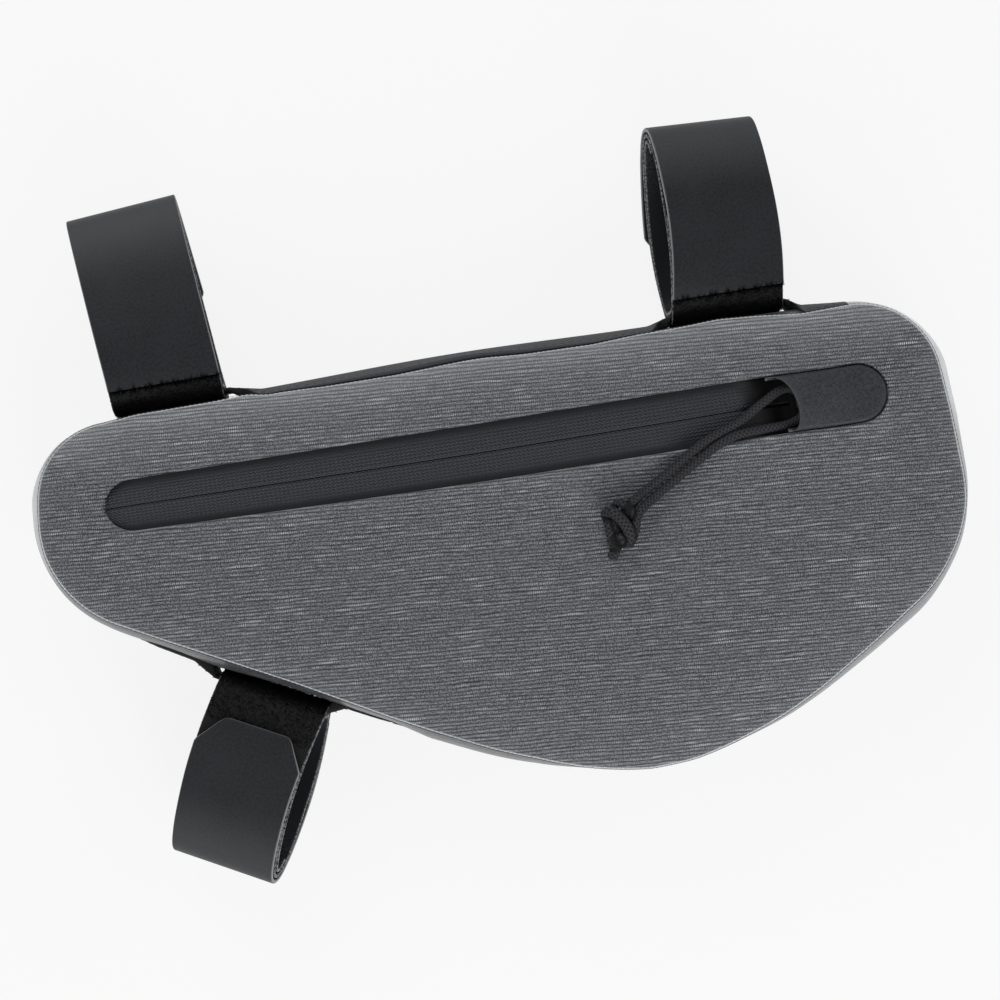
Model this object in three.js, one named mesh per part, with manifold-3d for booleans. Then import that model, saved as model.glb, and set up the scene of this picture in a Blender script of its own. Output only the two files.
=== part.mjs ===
// Small wedge-shaped bicycle frame bag lying on its back, in mm.
// +X runs along the top edge towards the front end, +Y towards the top straps, +Z out of the front panel.
import * as THREE from "three";
import { mergeVertices } from "three/addons/utils/BufferGeometryUtils.js";
import Module from "manifold-3d";

// Cloth
const WALL = 1.6; // fabric wall, coating and foam together
const GAP = 0.3; // clearance between touching pieces

// Bag body: corners of the widest outline, in order anticlockwise from above.
// bulge is how far the wall stands out past the front seam along the side that follows the corner.
const OUTLINE = [
  { corner: "top_rear", x: -155.7, y: 48.5, radius: 29, arcSteps: 7, sideSteps: 1, bulge: 4.0 },
  { corner: "low_rear", x: -160.3, y: -11.5, radius: 43, arcSteps: 6, sideSteps: 4, bulge: 4.8 },
  { corner: "low_tip", x: 41.7, y: -115.7, radius: 130, arcSteps: 8, sideSteps: 2, bulge: 4.8 },
  { corner: "low_front", x: 159.2, y: -46.0, radius: 53, arcSteps: 6, sideSteps: 2, bulge: 4.4 },
  { corner: "top_front", x: 155.0, y: 48.5, radius: 30, arcSteps: 7, sideSteps: 6, bulge: 2.6 },
];
const TOP_SIDE = 4; // side after top_front
const LOWER_REAR_SIDE = 1; // side after low_rear
const LEAST_RADIUS = 2;

// Wall section, from the back seam to the front seam. seam is 1 at the seams and 0 where the wall is widest.
const WALL_SECTION = [
  { z: WALL + GAP, seam: 1.15 },
  { z: 4.5, seam: 0.75 },
  { z: 9.5, seam: 0.3 },
  { z: 16.5, seam: 0.04 },
  { z: 24.0, seam: 0.0 },
  { z: 32.0, seam: 0.12 },
  { z: 38.5, seam: 0.48 },
  { z: 42.7, seam: 1.0 },
];
const MID_DEPTH = 24; // height of the widest line, and of the straps

// Front panel
const FRONT_SEAM_Z = 43;
const FRONT_LIP = 0.8; // how far the seam edge stands past the wall
const CROWN = 5.6; // rise of the front panel from its seam to its middle
const CROWN_REACH = 28; // distance from the seam at which the panel is fully crowned
const FRONT_RINGS = [-FRONT_LIP, 2, 6, 12, 19, 26]; // distances in from the seam
const BACK_RINGS = [0, 14]; // distances in from the back panel's edge

// Zip
const ZIP = { x0: -129.5, x1: 133.2, y: 15.7, width: 19.6, tape: 1.2, flange: 5, endX: 127 };
const ZIP_DIP = { from: 82, to: 99.5, depth: 6.5 }; // the tape sinks under the garage
const GARAGE = { topX: 92.5, lowX: 97, mouthX: 102.3, thick: 1.6, proud: 0.8, bevel: 0.5, fit: 0.35 };
const SLIDER = { x0: 101, x1: 115, width: 8, plate: 1.8, eyeX: 106, eyeWidth: 2.4, eyeBar: 1.5, eyeHole: 3.7 };

// Pull cord: lift is the height of its middle above the front panel.
const CORD_DIAMETER = 3;
const CORD_STEPS = 46;
const CORD_SIDES = 8; // of the tube's section
const CORD_ROUTE = [
  { x: 44.2, y: -7.5, lift: 1.75 },
  { x: 56.6, y: 0.1, lift: 1.75 },
  { x: 69.0, y: 7.6, lift: 1.75 },
  { x: 83.0, y: 13.0, lift: -0.1 },
  { x: 91.5, y: 17.9, lift: -1.0 },
  { x: 100.0, y: 21.5, lift: -3.9 },
  { x: 104.2, y: 19.7, lift: -4.4 },
  { x: 106.0, y: 15.7, lift: -4.4 },
  { x: 104.2, y: 11.7, lift: -4.4 },
  { x: 100.0, y: 9.8, lift: -3.9 },
  { x: 90.5, y: 9.3, lift: -0.9 },
  { x: 81.5, y: 8.7, lift: 0.9 },
  { x: 75.0, y: 6.6, lift: 1.8 },
  { x: 70.9, y: 4.5, lift: 1.8 },
  { x: 58.3, y: -2.9, lift: 1.75 },
  { x: 46.2, y: -10.2, lift: 1.75 },
];
const KNOT = { x: 39.9, y: -14.0, axisX: -0.54, axisY: -0.84, long: 6.2, wide: 5.2, tall: 3.9 };
const KNOT_BAND = { tube: 1.5, at: [-2.2, 1.8], lean: 0.45 };
const KNOT_TAIL = { length: 12.8, radius: 1.7, sides: 8 };

// Anchor strips: rest and lifted are the clearance from the wall, beside a strap and over it.
// from and to are measured along the side from its first corner.
const STRIP = { width: 18, thick: 1.6, rest: GAP, lifted: 2.4, ramp: 7 };
const STRIPS = [
  { name: "top_anchor_strip", side: TOP_SIDE, from: 27, to: 287.5, over: ["strap_top_rear", "strap_top_front"] },
  { name: "lower_anchor_strip", side: LOWER_REAR_SIDE, from: 26, to: 137, over: ["strap_lower"] },
];

// Straps: along is measured on the side from its first corner, reach outward from the wall.
// lean is the sideways drift at the far end, twist the turn of the far end about the strap's own line, in degrees.
// tabSide is +1 when the chamfered tab lies to the front and -1 when it lies to the back.
const STRAPS = [
  { name: "strap_top_rear", side: TOP_SIDE, along: 259.4, reach: 70.5, lean: 6.8, twist: -1, tabSide: -1, tab: 25 },
  { name: "strap_top_front", side: TOP_SIDE, along: 68.5, reach: 67.5, lean: -0.7, twist: 10, tabSide: -1, tab: 25 },
  { name: "strap_lower", side: LOWER_REAR_SIDE, along: 84.5, reach: 64.5, lean: -1.5, twist: 10, tabSide: 1, tab: 14.5 },
];
const STRAP_WIDTH = 38;
const LOOP_TAPE = 1.8;
const HOOK_TAPE = 1.5;
const TAB_CHAMFER = { across: 7.5, along: 10.5 };
const HOOK_END = 7.5; // where the plain end of the hook tape stops, from the wall
const LOOP_START = 36; // where the loop tape starts under the hook tape, from the wall
const LOOP_END = 0.86; // where the loop tape ends inside the loop, as a share of the reach
// Hole of a strap loop seen along the tube: u as a share of the hole's length, v the half depth.
const STRAP_HOLE = [
  { u: 0.0, v: 0 },
  { u: 0.0, v: 7.5 },
  { u: 0.04, v: 11.0 },
  { u: 0.2, v: 12.6 },
  { u: 0.45, v: 11.2 },
  { u: 0.7, v: 7.6 },
  { u: 0.92, v: 3.2 },
  { u: 1.0, v: 0 },
];
const HOLE_SAMPLES = 3; // path points for each row of the hole
const STRIP_STACK = GAP + LOOP_TAPE + GAP + STRIP.thick + GAP; // from the wall to the inner turn of loop tape

const COLOURS = {
  panel: { color: 0x6a6c70, roughness: 0.8 },
  wall: { color: 0x7b7d80, roughness: 0.8 },
  strip: { color: 0x1c1c1e, roughness: 0.85 },
  zip: { color: 0x2e2f32, roughness: 0.5 },
  hook: { color: 0x2a2b2d, roughness: 0.5 },
  loop: { color: 0x0e0e10, roughness: 1 },
  cord: { color: 0x1b1c1f, roughness: 0.9 },
  metal: { color: 0x3a3b3d, roughness: 0.4, metalness: 0.8 },
};

const wasm = await Module();
wasm.setup();

// Closed mesh from points and triangles, turned so that its faces point out.
function solid(points, triangles) {
  let volume = 0;
  for (const [a, b, c] of triangles) volume += points[a].dot(points[b].clone().cross(points[c]));
  const index = triangles.flatMap(([a, b, c]) => (volume < 0 ? [a, c, b] : [a, b, c]));
  const geometry = new THREE.BufferGeometry().setFromPoints(points);
  geometry.setIndex(index);
  return geometry;
}

// Closed rings of equal length joined one to the next. With loop the last ring joins the first,
// and otherwise a flat cap closes each end.
function loft(rings, loop) {
  const n = rings[0].length;
  const points = rings.flat();
  const triangles = [];
  const last = loop ? rings.length : rings.length - 1;
  for (let k = 0; k < last; k++) {
    const lower = k * n;
    const upper = ((k + 1) % rings.length) * n;
    for (let i = 0; i < n; i++) {
      const j = (i + 1) % n;
      triangles.push([lower + i, lower + j, upper + j], [lower + i, upper + j, upper + i]);
    }
  }
  if (!loop) {
    const flat = (ring) => ring.map((p) => new THREE.Vector2(p.x, p.y));
    const top = (rings.length - 1) * n;
    for (const [a, b, c] of THREE.ShapeUtils.triangulateShape(flat(rings.at(-1)), [])) {
      triangles.push([top + a, top + b, top + c]);
    }
    for (const [a, b, c] of THREE.ShapeUtils.triangulateShape(flat(rings[0]), [])) triangles.push([a, c, b]);
  }
  return solid(points, triangles);
}

// Band with a four-cornered section, closed at both ends. Its two broad faces are split the same way,
// so layers that lie on each other stay apart where the band twists.
function band(sections) {
  const points = sections.flat();
  const triangles = [];
  for (let k = 0; k + 1 < sections.length; k++) {
    for (let i = 0; i < 4; i++) {
      const a = 4 * k + i;
      const b = 4 * k + ((i + 1) % 4);
      if (i < 2) triangles.push([a, b, b + 4], [a, b + 4, a + 4]);
      else triangles.push([a, b, a + 4], [b, b + 4, a + 4]);
    }
  }
  const end = 4 * (sections.length - 1);
  triangles.push([0, 2, 1], [0, 3, 2], [end, end + 1, end + 2], [end, end + 2, end + 3]);
  return solid(points, triangles);
}

function asManifold(geometry) {
  const bare = new THREE.BufferGeometry().setAttribute("position", geometry.getAttribute("position"));
  if (geometry.index) bare.setIndex(geometry.index);
  const merged = mergeVertices(bare, 1e-4);
  const mesh = new wasm.Mesh({
    numProp: 3,
    vertProperties: new Float32Array(merged.attributes.position.array),
    triVerts: new Uint32Array(merged.index.array),
  });
  return new wasm.Manifold(mesh);
}

function asGeometry(manifold) {
  const mesh = manifold.getMesh();
  const geometry = new THREE.BufferGeometry();
  geometry.setAttribute("position", new THREE.BufferAttribute(new Float32Array(mesh.vertProperties), 3));
  geometry.setIndex(new THREE.BufferAttribute(new Uint32Array(mesh.triVerts), 1));
  return geometry;
}

const joined = (pieces) => asGeometry(pieces.map(asManifold).reduce((sum, piece) => sum.add(piece)));
const cut = (body, tool) => asGeometry(asManifold(body).subtract(asManifold(tool)));

// Side i of the outline: its first corner, direction, outward normal and length.
function side(i) {
  const from = OUTLINE[i];
  const to = OUTLINE[(i + 1) % OUTLINE.length];
  const along = new THREE.Vector2(to.x - from.x, to.y - from.y);
  const length = along.length();
  along.normalize();
  return { from: new THREE.Vector2(from.x, from.y), along, out: new THREE.Vector2(along.y, -along.x), length };
}

// Corner where two sides meet after each has moved in by its own distance.
function movedCorner(i, moves) {
  const before = (i + OUTLINE.length - 1) % OUTLINE.length;
  const a = side(before);
  const b = side(i);
  const p = a.from.clone().addScaledVector(a.out, -moves[before]);
  const q = b.from.clone().addScaledVector(b.out, -moves[i]);
  const t = q.clone().sub(p).cross(b.along) / a.along.cross(b.along);
  return p.addScaledVector(a.along, t);
}

// Outline moved in by seam times each side's bulge and then by inset, at height z.
function ring(seam, inset, z) {
  const moves = OUTLINE.map((row) => seam * row.bulge + inset);
  const corners = OUTLINE.map((row, i) => movedCorner(i, moves));
  const arcs = OUTLINE.map((row, i) => {
    const before = (i + OUTLINE.length - 1) % OUTLINE.length;
    const radius = Math.max(row.radius - (moves[i] + moves[before]) / 2, LEAST_RADIUS);
    const d0 = side(before).along;
    const d1 = side(i).along;
    const turn = Math.atan2(d0.cross(d1), d0.dot(d1));
    const start = corners[i].clone().addScaledVector(d0, -radius * Math.tan(turn / 2));
    const centre = start.clone().add(new THREE.Vector2(-d0.y, d0.x).multiplyScalar(radius));
    const points = [];
    for (let k = 0; k <= row.arcSteps; k++) {
      points.push(start.clone().rotateAround(centre, (turn * k) / row.arcSteps));
    }
    return points;
  });
  const flat = arcs.flatMap((arc, i) => {
    const next = arcs[(i + 1) % arcs.length][0];
    const between = [];
    for (let k = 1; k < OUTLINE[i].sideSteps; k++) {
      between.push(arc.at(-1).clone().lerp(next, k / OUTLINE[i].sideSteps));
    }
    return [...arc, ...between];
  });
  return flat.map((p) => new THREE.Vector3(p.x, p.y, z));
}

const crownRise = (d) => CROWN * (1 - (1 - THREE.MathUtils.clamp(d / CROWN_REACH, 0, 1)) ** 2);

const frontSeam = ring(1, 0, FRONT_SEAM_Z);

// Height of the front panel's outer face above the point x, y.
function frontZ(x, y) {
  let nearest = Infinity;
  const here = new THREE.Vector3(x, y, FRONT_SEAM_Z);
  const foot = new THREE.Vector3();
  frontSeam.forEach((p, i) => {
    const edge = new THREE.Line3(p, frontSeam[(i + 1) % frontSeam.length]);
    nearest = Math.min(nearest, edge.closestPointToPoint(here, true, foot).distanceTo(here));
  });
  return FRONT_SEAM_Z + WALL + crownRise(nearest);
}

// Outline of a slot with round ends, moved in by fit.
function slot(x0, x1, y, width, fit) {
  const r = width / 2 - fit;
  const shape = new THREE.Shape();
  shape.absarc(x1 - width / 2, y, r, -Math.PI / 2, Math.PI / 2);
  shape.absarc(x0 + width / 2, y, r, Math.PI / 2, 1.5 * Math.PI);
  return shape;
}

function gusset() {
  const outer = WALL_SECTION.map((row) => ring(row.seam, 0, row.z));
  const inner = WALL_SECTION.map((row) => ring(row.seam, WALL, row.z)).reverse();
  return loft([...outer, ...inner], true);
}

function frontPanel() {
  const top = FRONT_RINGS.map((d) => ring(1, d, FRONT_SEAM_Z + WALL + crownRise(d)));
  const under = FRONT_RINGS.map((d) => ring(1, d, FRONT_SEAM_Z + crownRise(d))).reverse();
  const depth = CROWN + 4 * WALL;
  const window = new THREE.ExtrudeGeometry(slot(ZIP.x0, ZIP.x1, ZIP.y, ZIP.width, 0), {
    depth,
    bevelEnabled: false,
    curveSegments: 8,
  });
  window.translate(0, 0, FRONT_SEAM_Z - WALL);
  return cut(loft([...under, ...top], false), window);
}

function backPanel() {
  const under = BACK_RINGS.map((d) => ring(1.15, d, 0)).reverse();
  const top = BACK_RINGS.map((d) => ring(1.15, d, WALL));
  return loft([...under, ...top], false);
}

const zipDip = (x) => ZIP_DIP.depth * THREE.MathUtils.smoothstep(x, ZIP_DIP.from, ZIP_DIP.to);
const zipZ = (x, y) => frontZ(x, y) - WALL - GAP - 0.1 - zipDip(x);

// One half of the zip, on the side of the tooth line given by sign.
function zipTape(sign) {
  const steps = 26;
  const x0 = ZIP.x0 - ZIP.flange;
  const near = ZIP.y + (sign * GAP) / 2;
  const far = ZIP.y + sign * (ZIP.width / 2 + ZIP.flange);
  const sections = [];
  for (let k = 0; k <= steps; k++) {
    const x = x0 + ((ZIP.endX - x0) * k) / steps;
    const zn = zipZ(x, near);
    const zf = zipZ(x, far);
    sections.push([
      new THREE.Vector3(x, near, zn),
      new THREE.Vector3(x, far, zf),
      new THREE.Vector3(x, far, zf - ZIP.tape),
      new THREE.Vector3(x, near, zn - ZIP.tape),
    ]);
  }
  return band(sections);
}

// Cap in the front end of the window, with a hollow mouth towards the rear.
function garage() {
  const r = ZIP.width / 2 - GARAGE.fit - GARAGE.bevel;
  const shape = new THREE.Shape();
  shape.moveTo(GARAGE.lowX, ZIP.y - r);
  shape.absarc(ZIP.x1 - ZIP.width / 2, ZIP.y, r, -Math.PI / 2, Math.PI / 2);
  shape.lineTo(GARAGE.topX, ZIP.y + r);
  const bow = 2 * GARAGE.mouthX - (GARAGE.topX + GARAGE.lowX) / 2;
  shape.quadraticCurveTo(bow, ZIP.y + 1, GARAGE.lowX, ZIP.y - r);
  const cap = new THREE.ExtrudeGeometry(shape, {
    depth: GARAGE.thick - 2 * GARAGE.bevel,
    bevelThickness: GARAGE.bevel,
    bevelSize: GARAGE.bevel,
    bevelSegments: 1,
    curveSegments: 8,
  });
  const place = cap.getAttribute("position");
  const base = GARAGE.proud - GARAGE.thick + GARAGE.bevel;
  for (let i = 0; i < place.count; i++) {
    place.setZ(i, place.getZ(i) + base + frontZ(place.getX(i), place.getY(i)));
  }
  return cap;
}

// Slider on the sunken end of the tapes: a plate with an upright eye that the cord goes through.
function slider() {
  const bed = zipZ(SLIDER.eyeX, ZIP.y) + GAP;
  const plate = new THREE.BoxGeometry(SLIDER.x1 - SLIDER.x0, SLIDER.width, SLIDER.plate);
  plate.translate((SLIDER.x0 + SLIDER.x1) / 2, ZIP.y, bed + SLIDER.plate / 2);
  const half = SLIDER.eyeHole / 2;
  const outer = half + SLIDER.eyeBar;
  const eye = new THREE.Shape();
  eye.moveTo(-outer, -half - SLIDER.eyeBar / 2);
  eye.lineTo(outer, -half - SLIDER.eyeBar / 2);
  eye.lineTo(outer, half);
  eye.lineTo(half, outer);
  eye.lineTo(-half, outer);
  eye.lineTo(-outer, half);
  const hole = new THREE.Path();
  hole.absarc(0, 0, half, 0, 2 * Math.PI);
  eye.holes.push(hole);
  const loop = new THREE.ExtrudeGeometry(eye, { depth: SLIDER.eyeWidth, bevelEnabled: false, curveSegments: 10 });
  loop.rotateX(Math.PI / 2);
  loop.translate(SLIDER.eyeX, ZIP.y + SLIDER.eyeWidth / 2, bed + SLIDER.plate + half);
  return joined([plate, loop]);
}

function pullCord() {
  const route = CORD_ROUTE.map((p) => new THREE.Vector3(p.x, p.y, frontZ(p.x, p.y) + p.lift));
  const section = new THREE.Shape();
  section.absarc(0, 0, CORD_DIAMETER / 2, 0, 2 * Math.PI);
  return new THREE.ExtrudeGeometry(section, {
    steps: CORD_STEPS,
    curveSegments: CORD_SIDES / 2,
    extrudePath: new THREE.CatmullRomCurve3(route, false, "centripetal"),
    bevelEnabled: false,
  });
}

// Barrel of the knot with two wraps of cord round it and the tails out of its end.
function pullKnot() {
  const barrel = new THREE.SphereGeometry(1, 14, 9);
  barrel.scale(KNOT.long, KNOT.wide, KNOT.tall);
  const pieces = [barrel];
  for (const at of KNOT_BAND.at) {
    const wrap = new THREE.TorusGeometry(1, KNOT_BAND.tube / KNOT.wide, 6, 16);
    wrap.rotateY(Math.PI / 2);
    wrap.scale(KNOT.wide, KNOT.wide - KNOT_BAND.tube / 2, KNOT.tall - KNOT_BAND.tube / 2);
    wrap.rotateZ(KNOT_BAND.lean);
    wrap.translate(at, 0, 0);
    pieces.push(wrap);
  }
  const tail = new THREE.CylinderGeometry(KNOT_TAIL.radius, KNOT_TAIL.radius, KNOT_TAIL.length, KNOT_TAIL.sides);
  tail.rotateZ(Math.PI / 2);
  tail.translate(KNOT_TAIL.length / 2, 0, KNOT_TAIL.radius - KNOT.tall);
  pieces.push(tail);
  const knot = joined(pieces);
  knot.rotateZ(Math.atan2(KNOT.axisY, KNOT.axisX));
  knot.translate(KNOT.x, KNOT.y, frontZ(KNOT.x, KNOT.y) + KNOT.tall + 3 * GAP);
  return knot;
}

// How far a rounded end of side i falls behind its straight line, at the distance d from its first corner.
function cornerDrop(i, d) {
  const s = side(i);
  const fall = (corner, other, left) => {
    const turn = Math.acos(THREE.MathUtils.clamp(s.along.dot(side(other).along), -1, 1));
    const past = OUTLINE[corner].radius * Math.tan(turn / 2) - left;
    const r = OUTLINE[corner].radius;
    return past > 0 ? r - Math.sqrt(r * r - past * past) : 0;
  };
  const n = OUTLINE.length;
  return fall(i, (i + n - 1) % n, d) + fall((i + 1) % n, (i + 1) % n, s.length - d);
}

// Strip along one side of the wall, lifted where it crosses a strap.
function anchorStrip(strip) {
  const s = side(strip.side);
  const stations = [strip.from, strip.to, strip.from + 4, strip.to - 4];
  for (const name of strip.over) {
    const middle = STRAPS.find((strap) => strap.name === name).along;
    for (const sign of [-1, 1]) {
      for (const share of [0, 0.25, 0.5, 0.75, 1]) {
        stations.push(middle + sign * (STRAP_WIDTH / 2 + 2 + share * STRIP.ramp));
      }
    }
  }
  const kept = stations.filter((d) => d >= strip.from && d <= strip.to).sort((a, b) => a - b);
  const sections = kept.map((d) => {
    const lift = Math.max(
      ...strip.over.map((name) => {
        const away = Math.abs(d - STRAPS.find((strap) => strap.name === name).along) - STRAP_WIDTH / 2 - 2;
        return 1 - THREE.MathUtils.smoothstep(away, 0, STRIP.ramp);
      }),
    );
    const clear = THREE.MathUtils.lerp(STRIP.rest, STRIP.lifted, lift) - (1 - lift) * cornerDrop(strip.side, d);
    const at = s.from.clone().addScaledVector(s.along, d);
    const near = at.clone().addScaledVector(s.out, clear);
    const far = at.clone().addScaledVector(s.out, clear + STRIP.thick);
    const low = MID_DEPTH - STRIP.width / 2;
    const high = MID_DEPTH + STRIP.width / 2;
    return [
      new THREE.Vector3(near.x, near.y, low),
      new THREE.Vector3(far.x, far.y, low),
      new THREE.Vector3(far.x, far.y, high),
      new THREE.Vector3(near.x, near.y, high),
    ];
  });
  return band(sections);
}

// Closed curve round the hole of a strap loop in the plane u outward, v towards the front or back.
// It starts at the wall, goes outward on the positive side and comes back on the negative side.
function holeCurve(strap) {
  const length = strap.reach - STRIP_STACK - 2 * LOOP_TAPE - 2 * GAP - HOOK_TAPE;
  const u0 = STRIP_STACK + LOOP_TAPE;
  const there = STRAP_HOLE.map((row) => new THREE.Vector3(u0 + row.u * (length - LOOP_TAPE), row.v, 0));
  const back = STRAP_HOLE.slice(1, -1).reverse().map((row, i) => {
    const p = there[STRAP_HOLE.length - 2 - i];
    return new THREE.Vector3(p.x, -p.y, 0);
  });
  return new THREE.CatmullRomCurve3([...there, ...back], true, "centripetal");
}

// Layers counted from the hole: distance of a tape's middle from the hole's edge.
const INNER_LAYER = LOOP_TAPE / 2;
const OUTER_LAYER = INNER_LAYER + LOOP_TAPE + GAP;
const HOOK_LAYER = OUTER_LAYER + LOOP_TAPE / 2 + GAP + HOOK_TAPE / 2;

// Tape wound round the hole from turn t0 to t1, in turns of the hole curve, at the distance layer(t) from its edge.
// halfWidth(d, total) gives the half width at the distance d along the tape.
function woundTape(strap, t0, t1, thick, layer, halfWidth) {
  const curve = holeCurve(strap);
  const perTurn = curve.points.length * HOLE_SAMPLES;
  const first = Math.ceil(t0 * perTurn + 0.3);
  const last = Math.floor(t1 * perTurn - 0.3);
  const turns = [t0];
  for (let k = first; k <= last; k++) turns.push(k / perTurn);
  turns.push(t1);
  const middle = turns.map((t) => {
    const share = THREE.MathUtils.euclideanModulo(t, 1);
    const p = curve.getPoint(share);
    const d = curve.getTangent(share);
    const out = new THREE.Vector3(-d.y, d.x, 0);
    return p.addScaledVector(out, layer(t));
  });
  const travelled = [0];
  for (let k = 1; k < middle.length; k++) travelled.push(travelled[k - 1] + middle[k].distanceTo(middle[k - 1]));
  const sections = middle.map((p, k) => {
    const before = middle[Math.max(k - 1, 0)];
    const after = middle[Math.min(k + 1, middle.length - 1)];
    const d = after.clone().sub(before).normalize();
    const across = new THREE.Vector3(-d.y, d.x, 0).multiplyScalar(thick / 2);
    const w = halfWidth(travelled[k], travelled.at(-1));
    const inside = p.clone().sub(across);
    const outside = p.clone().add(across);
    return [
      strapPoint(strap, inside.x, inside.y, -w),
      strapPoint(strap, inside.x, inside.y, w),
      strapPoint(strap, outside.x, outside.y, w),
      strapPoint(strap, outside.x, outside.y, -w),
    ];
  });
  return band(sections);
}

// Point of a strap: u outward from the wall, v towards the front, w along the side, after its lean and twist.
function strapPoint(strap, u, v, w) {
  const s = side(strap.side);
  const share = u / strap.reach;
  const turn = THREE.MathUtils.degToRad(strap.twist) * THREE.MathUtils.smoothstep(share, 0.1, 0.6);
  const depth = strap.tabSide * v;
  const across = w * Math.cos(turn) - depth * Math.sin(turn) + strap.lean * share;
  const height = depth * Math.cos(turn) + w * Math.sin(turn);
  const at = s.from.clone().addScaledVector(s.along, strap.along + across).addScaledVector(s.out, u);
  return new THREE.Vector3(at.x, at.y, MID_DEPTH + height);
}

// Turn of the hole curve, on its outward half or its returning half, whose distance from the wall is u.
function turnAt(strap, u, returning) {
  const curve = holeCurve(strap);
  let best = 0;
  for (let k = 0; k <= 400; k++) {
    const t = (returning ? 0.5 : 0) + (0.5 * k) / 400;
    if (Math.abs(curve.getPoint(t).x - u) < Math.abs(curve.getPoint(best).x - u) || k === 0) best = t;
  }
  return best;
}

// Loop tape: from under the hook tape to the wall, under the anchor strip, round the hole nearly twice.
function loopTape(strap) {
  const start = -turnAt(strap, LOOP_START, false);
  const end = 2 - turnAt(strap, LOOP_END * strap.reach, false);
  const layer = (t) => {
    const strip = 1 - THREE.MathUtils.smoothstep(Math.abs(t), 0.09, 0.17);
    const inward = THREE.MathUtils.smoothstep(t, 0.58, 0.7);
    const outer = OUTER_LAYER + strip * (STRIP.thick + GAP);
    return THREE.MathUtils.lerp(outer, INNER_LAYER, inward);
  };
  return woundTape(strap, start, end, LOOP_TAPE, layer, () => STRAP_WIDTH / 2);
}

// Hook tape: chamfered tab on one side, round the far end, and back to its plain end near the wall.
function hookTape(strap) {
  const start = turnAt(strap, strap.tab, false);
  const end = turnAt(strap, HOOK_END + 2, true);
  const tabbed = (d) => {
    const left = THREE.MathUtils.clamp(1 - d / TAB_CHAMFER.along, 0, 1);
    return STRAP_WIDTH / 2 - TAB_CHAMFER.across * left;
  };
  return woundTape(strap, start, end, HOOK_TAPE, () => HOOK_LAYER, tabbed);
}

const bag = new THREE.Group();
function add(name, geometry, colour) {
  const material = new THREE.MeshStandardMaterial({ metalness: 0, ...COLOURS[colour] });
  const mesh = new THREE.Mesh(geometry, material);
  mesh.name = name;
  bag.add(mesh);
}

add("front_panel", frontPanel(), "panel");
add("gusset", gusset(), "wall");
add("back_panel", backPanel(), "wall");
add("zip_tape_upper", zipTape(1), "zip");
add("zip_tape_lower", zipTape(-1), "zip");
add("zip_garage", garage(), "zip");
add("zip_slider", slider(), "metal");
add("pull_cord", pullCord(), "cord");
add("pull_knot", pullKnot(), "cord");
for (const strip of STRIPS) add(strip.name, anchorStrip(strip), "strip");
for (const strap of STRAPS) {
  add(strap.name + "_loop", loopTape(strap), "loop");
  add(strap.name + "_hook", hookTape(strap), "hook");
}

// The part's origin is under the middle of its box.
const box = new THREE.Box3().setFromObject(bag);
const middle = box.getCenter(new THREE.Vector3());
for (const mesh of bag.children) mesh.geometry.translate(-middle.x, -middle.y, -box.min.z);

export default bag;
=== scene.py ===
"""Small wedge-shaped bicycle frame bag, dressed in heather fabric, a coated zip, a knotted cord and straps.

Lengths in the tables are millimetres in the bag's own drawing: +X along the top edge towards the front end,
+Y towards the top straps and +Z out of the front panel, with the bag lying on its back.
"""

from collections import namedtuple

import bmesh
import bpy
import numpy as np
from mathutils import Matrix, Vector


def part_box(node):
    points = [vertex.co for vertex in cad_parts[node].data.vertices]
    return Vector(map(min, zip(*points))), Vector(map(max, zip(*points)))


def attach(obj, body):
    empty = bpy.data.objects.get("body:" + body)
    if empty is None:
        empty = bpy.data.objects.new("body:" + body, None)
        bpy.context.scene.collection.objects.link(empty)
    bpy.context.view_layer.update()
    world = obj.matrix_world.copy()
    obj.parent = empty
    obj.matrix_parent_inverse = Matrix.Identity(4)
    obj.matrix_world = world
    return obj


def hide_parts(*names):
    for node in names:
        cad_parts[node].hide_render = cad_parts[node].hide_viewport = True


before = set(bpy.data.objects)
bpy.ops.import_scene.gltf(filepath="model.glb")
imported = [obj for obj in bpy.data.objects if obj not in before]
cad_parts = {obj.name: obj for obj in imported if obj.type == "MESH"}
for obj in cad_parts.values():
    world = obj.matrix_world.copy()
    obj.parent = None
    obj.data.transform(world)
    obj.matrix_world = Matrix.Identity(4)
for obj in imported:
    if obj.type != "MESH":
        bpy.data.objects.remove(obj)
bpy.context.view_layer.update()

bl_info = {
    "name": "Bicycle frame bag",
    "version": (1, 0, 0),
    "blender": (4, 5, 0),
    "location": "View3D > Sidebar > Frame bag",
    "description": "Dresses the solids of a bicycle frame bag in its fabric, zip, cord and straps",
    "category": "Object",
}

MM = 0.001
BODY = "root"
UV = "cloth"  # texture places of every piece, in metres
EDGE = "edge_and_painted_light"  # mark of every piece: cut edges, painted highlights and painted shade, or how high a braid's strands lie
WALL, GAP = 1.6, 0.3  # thickness of the cloth walls, and the clearance between two pieces

# Widest outline of the bag, anticlockwise as seen from over the front panel. How far the wall stands past
# the seam along the side that follows each corner is its bulge, and the steps are the samples of its arc and
# of that side.
Corner = namedtuple("Corner", "x y radius bulge arc_steps side_steps")
OUTLINE = (
    Corner(-155.7, 48.5, 29, 4.0, 22, 3),
    Corner(-160.3, -11.5, 43, 4.8, 22, 60),
    Corner(41.7, -115.7, 130, 4.8, 60, 16),
    Corner(159.2, -46.0, 53, 4.4, 28, 15),
    Corner(155.0, 48.5, 30, 2.6, 24, 120),
)
TOP_SIDE, LOWER_REAR_SIDE = 4, 1
LEAST_RADIUS = 2
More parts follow.
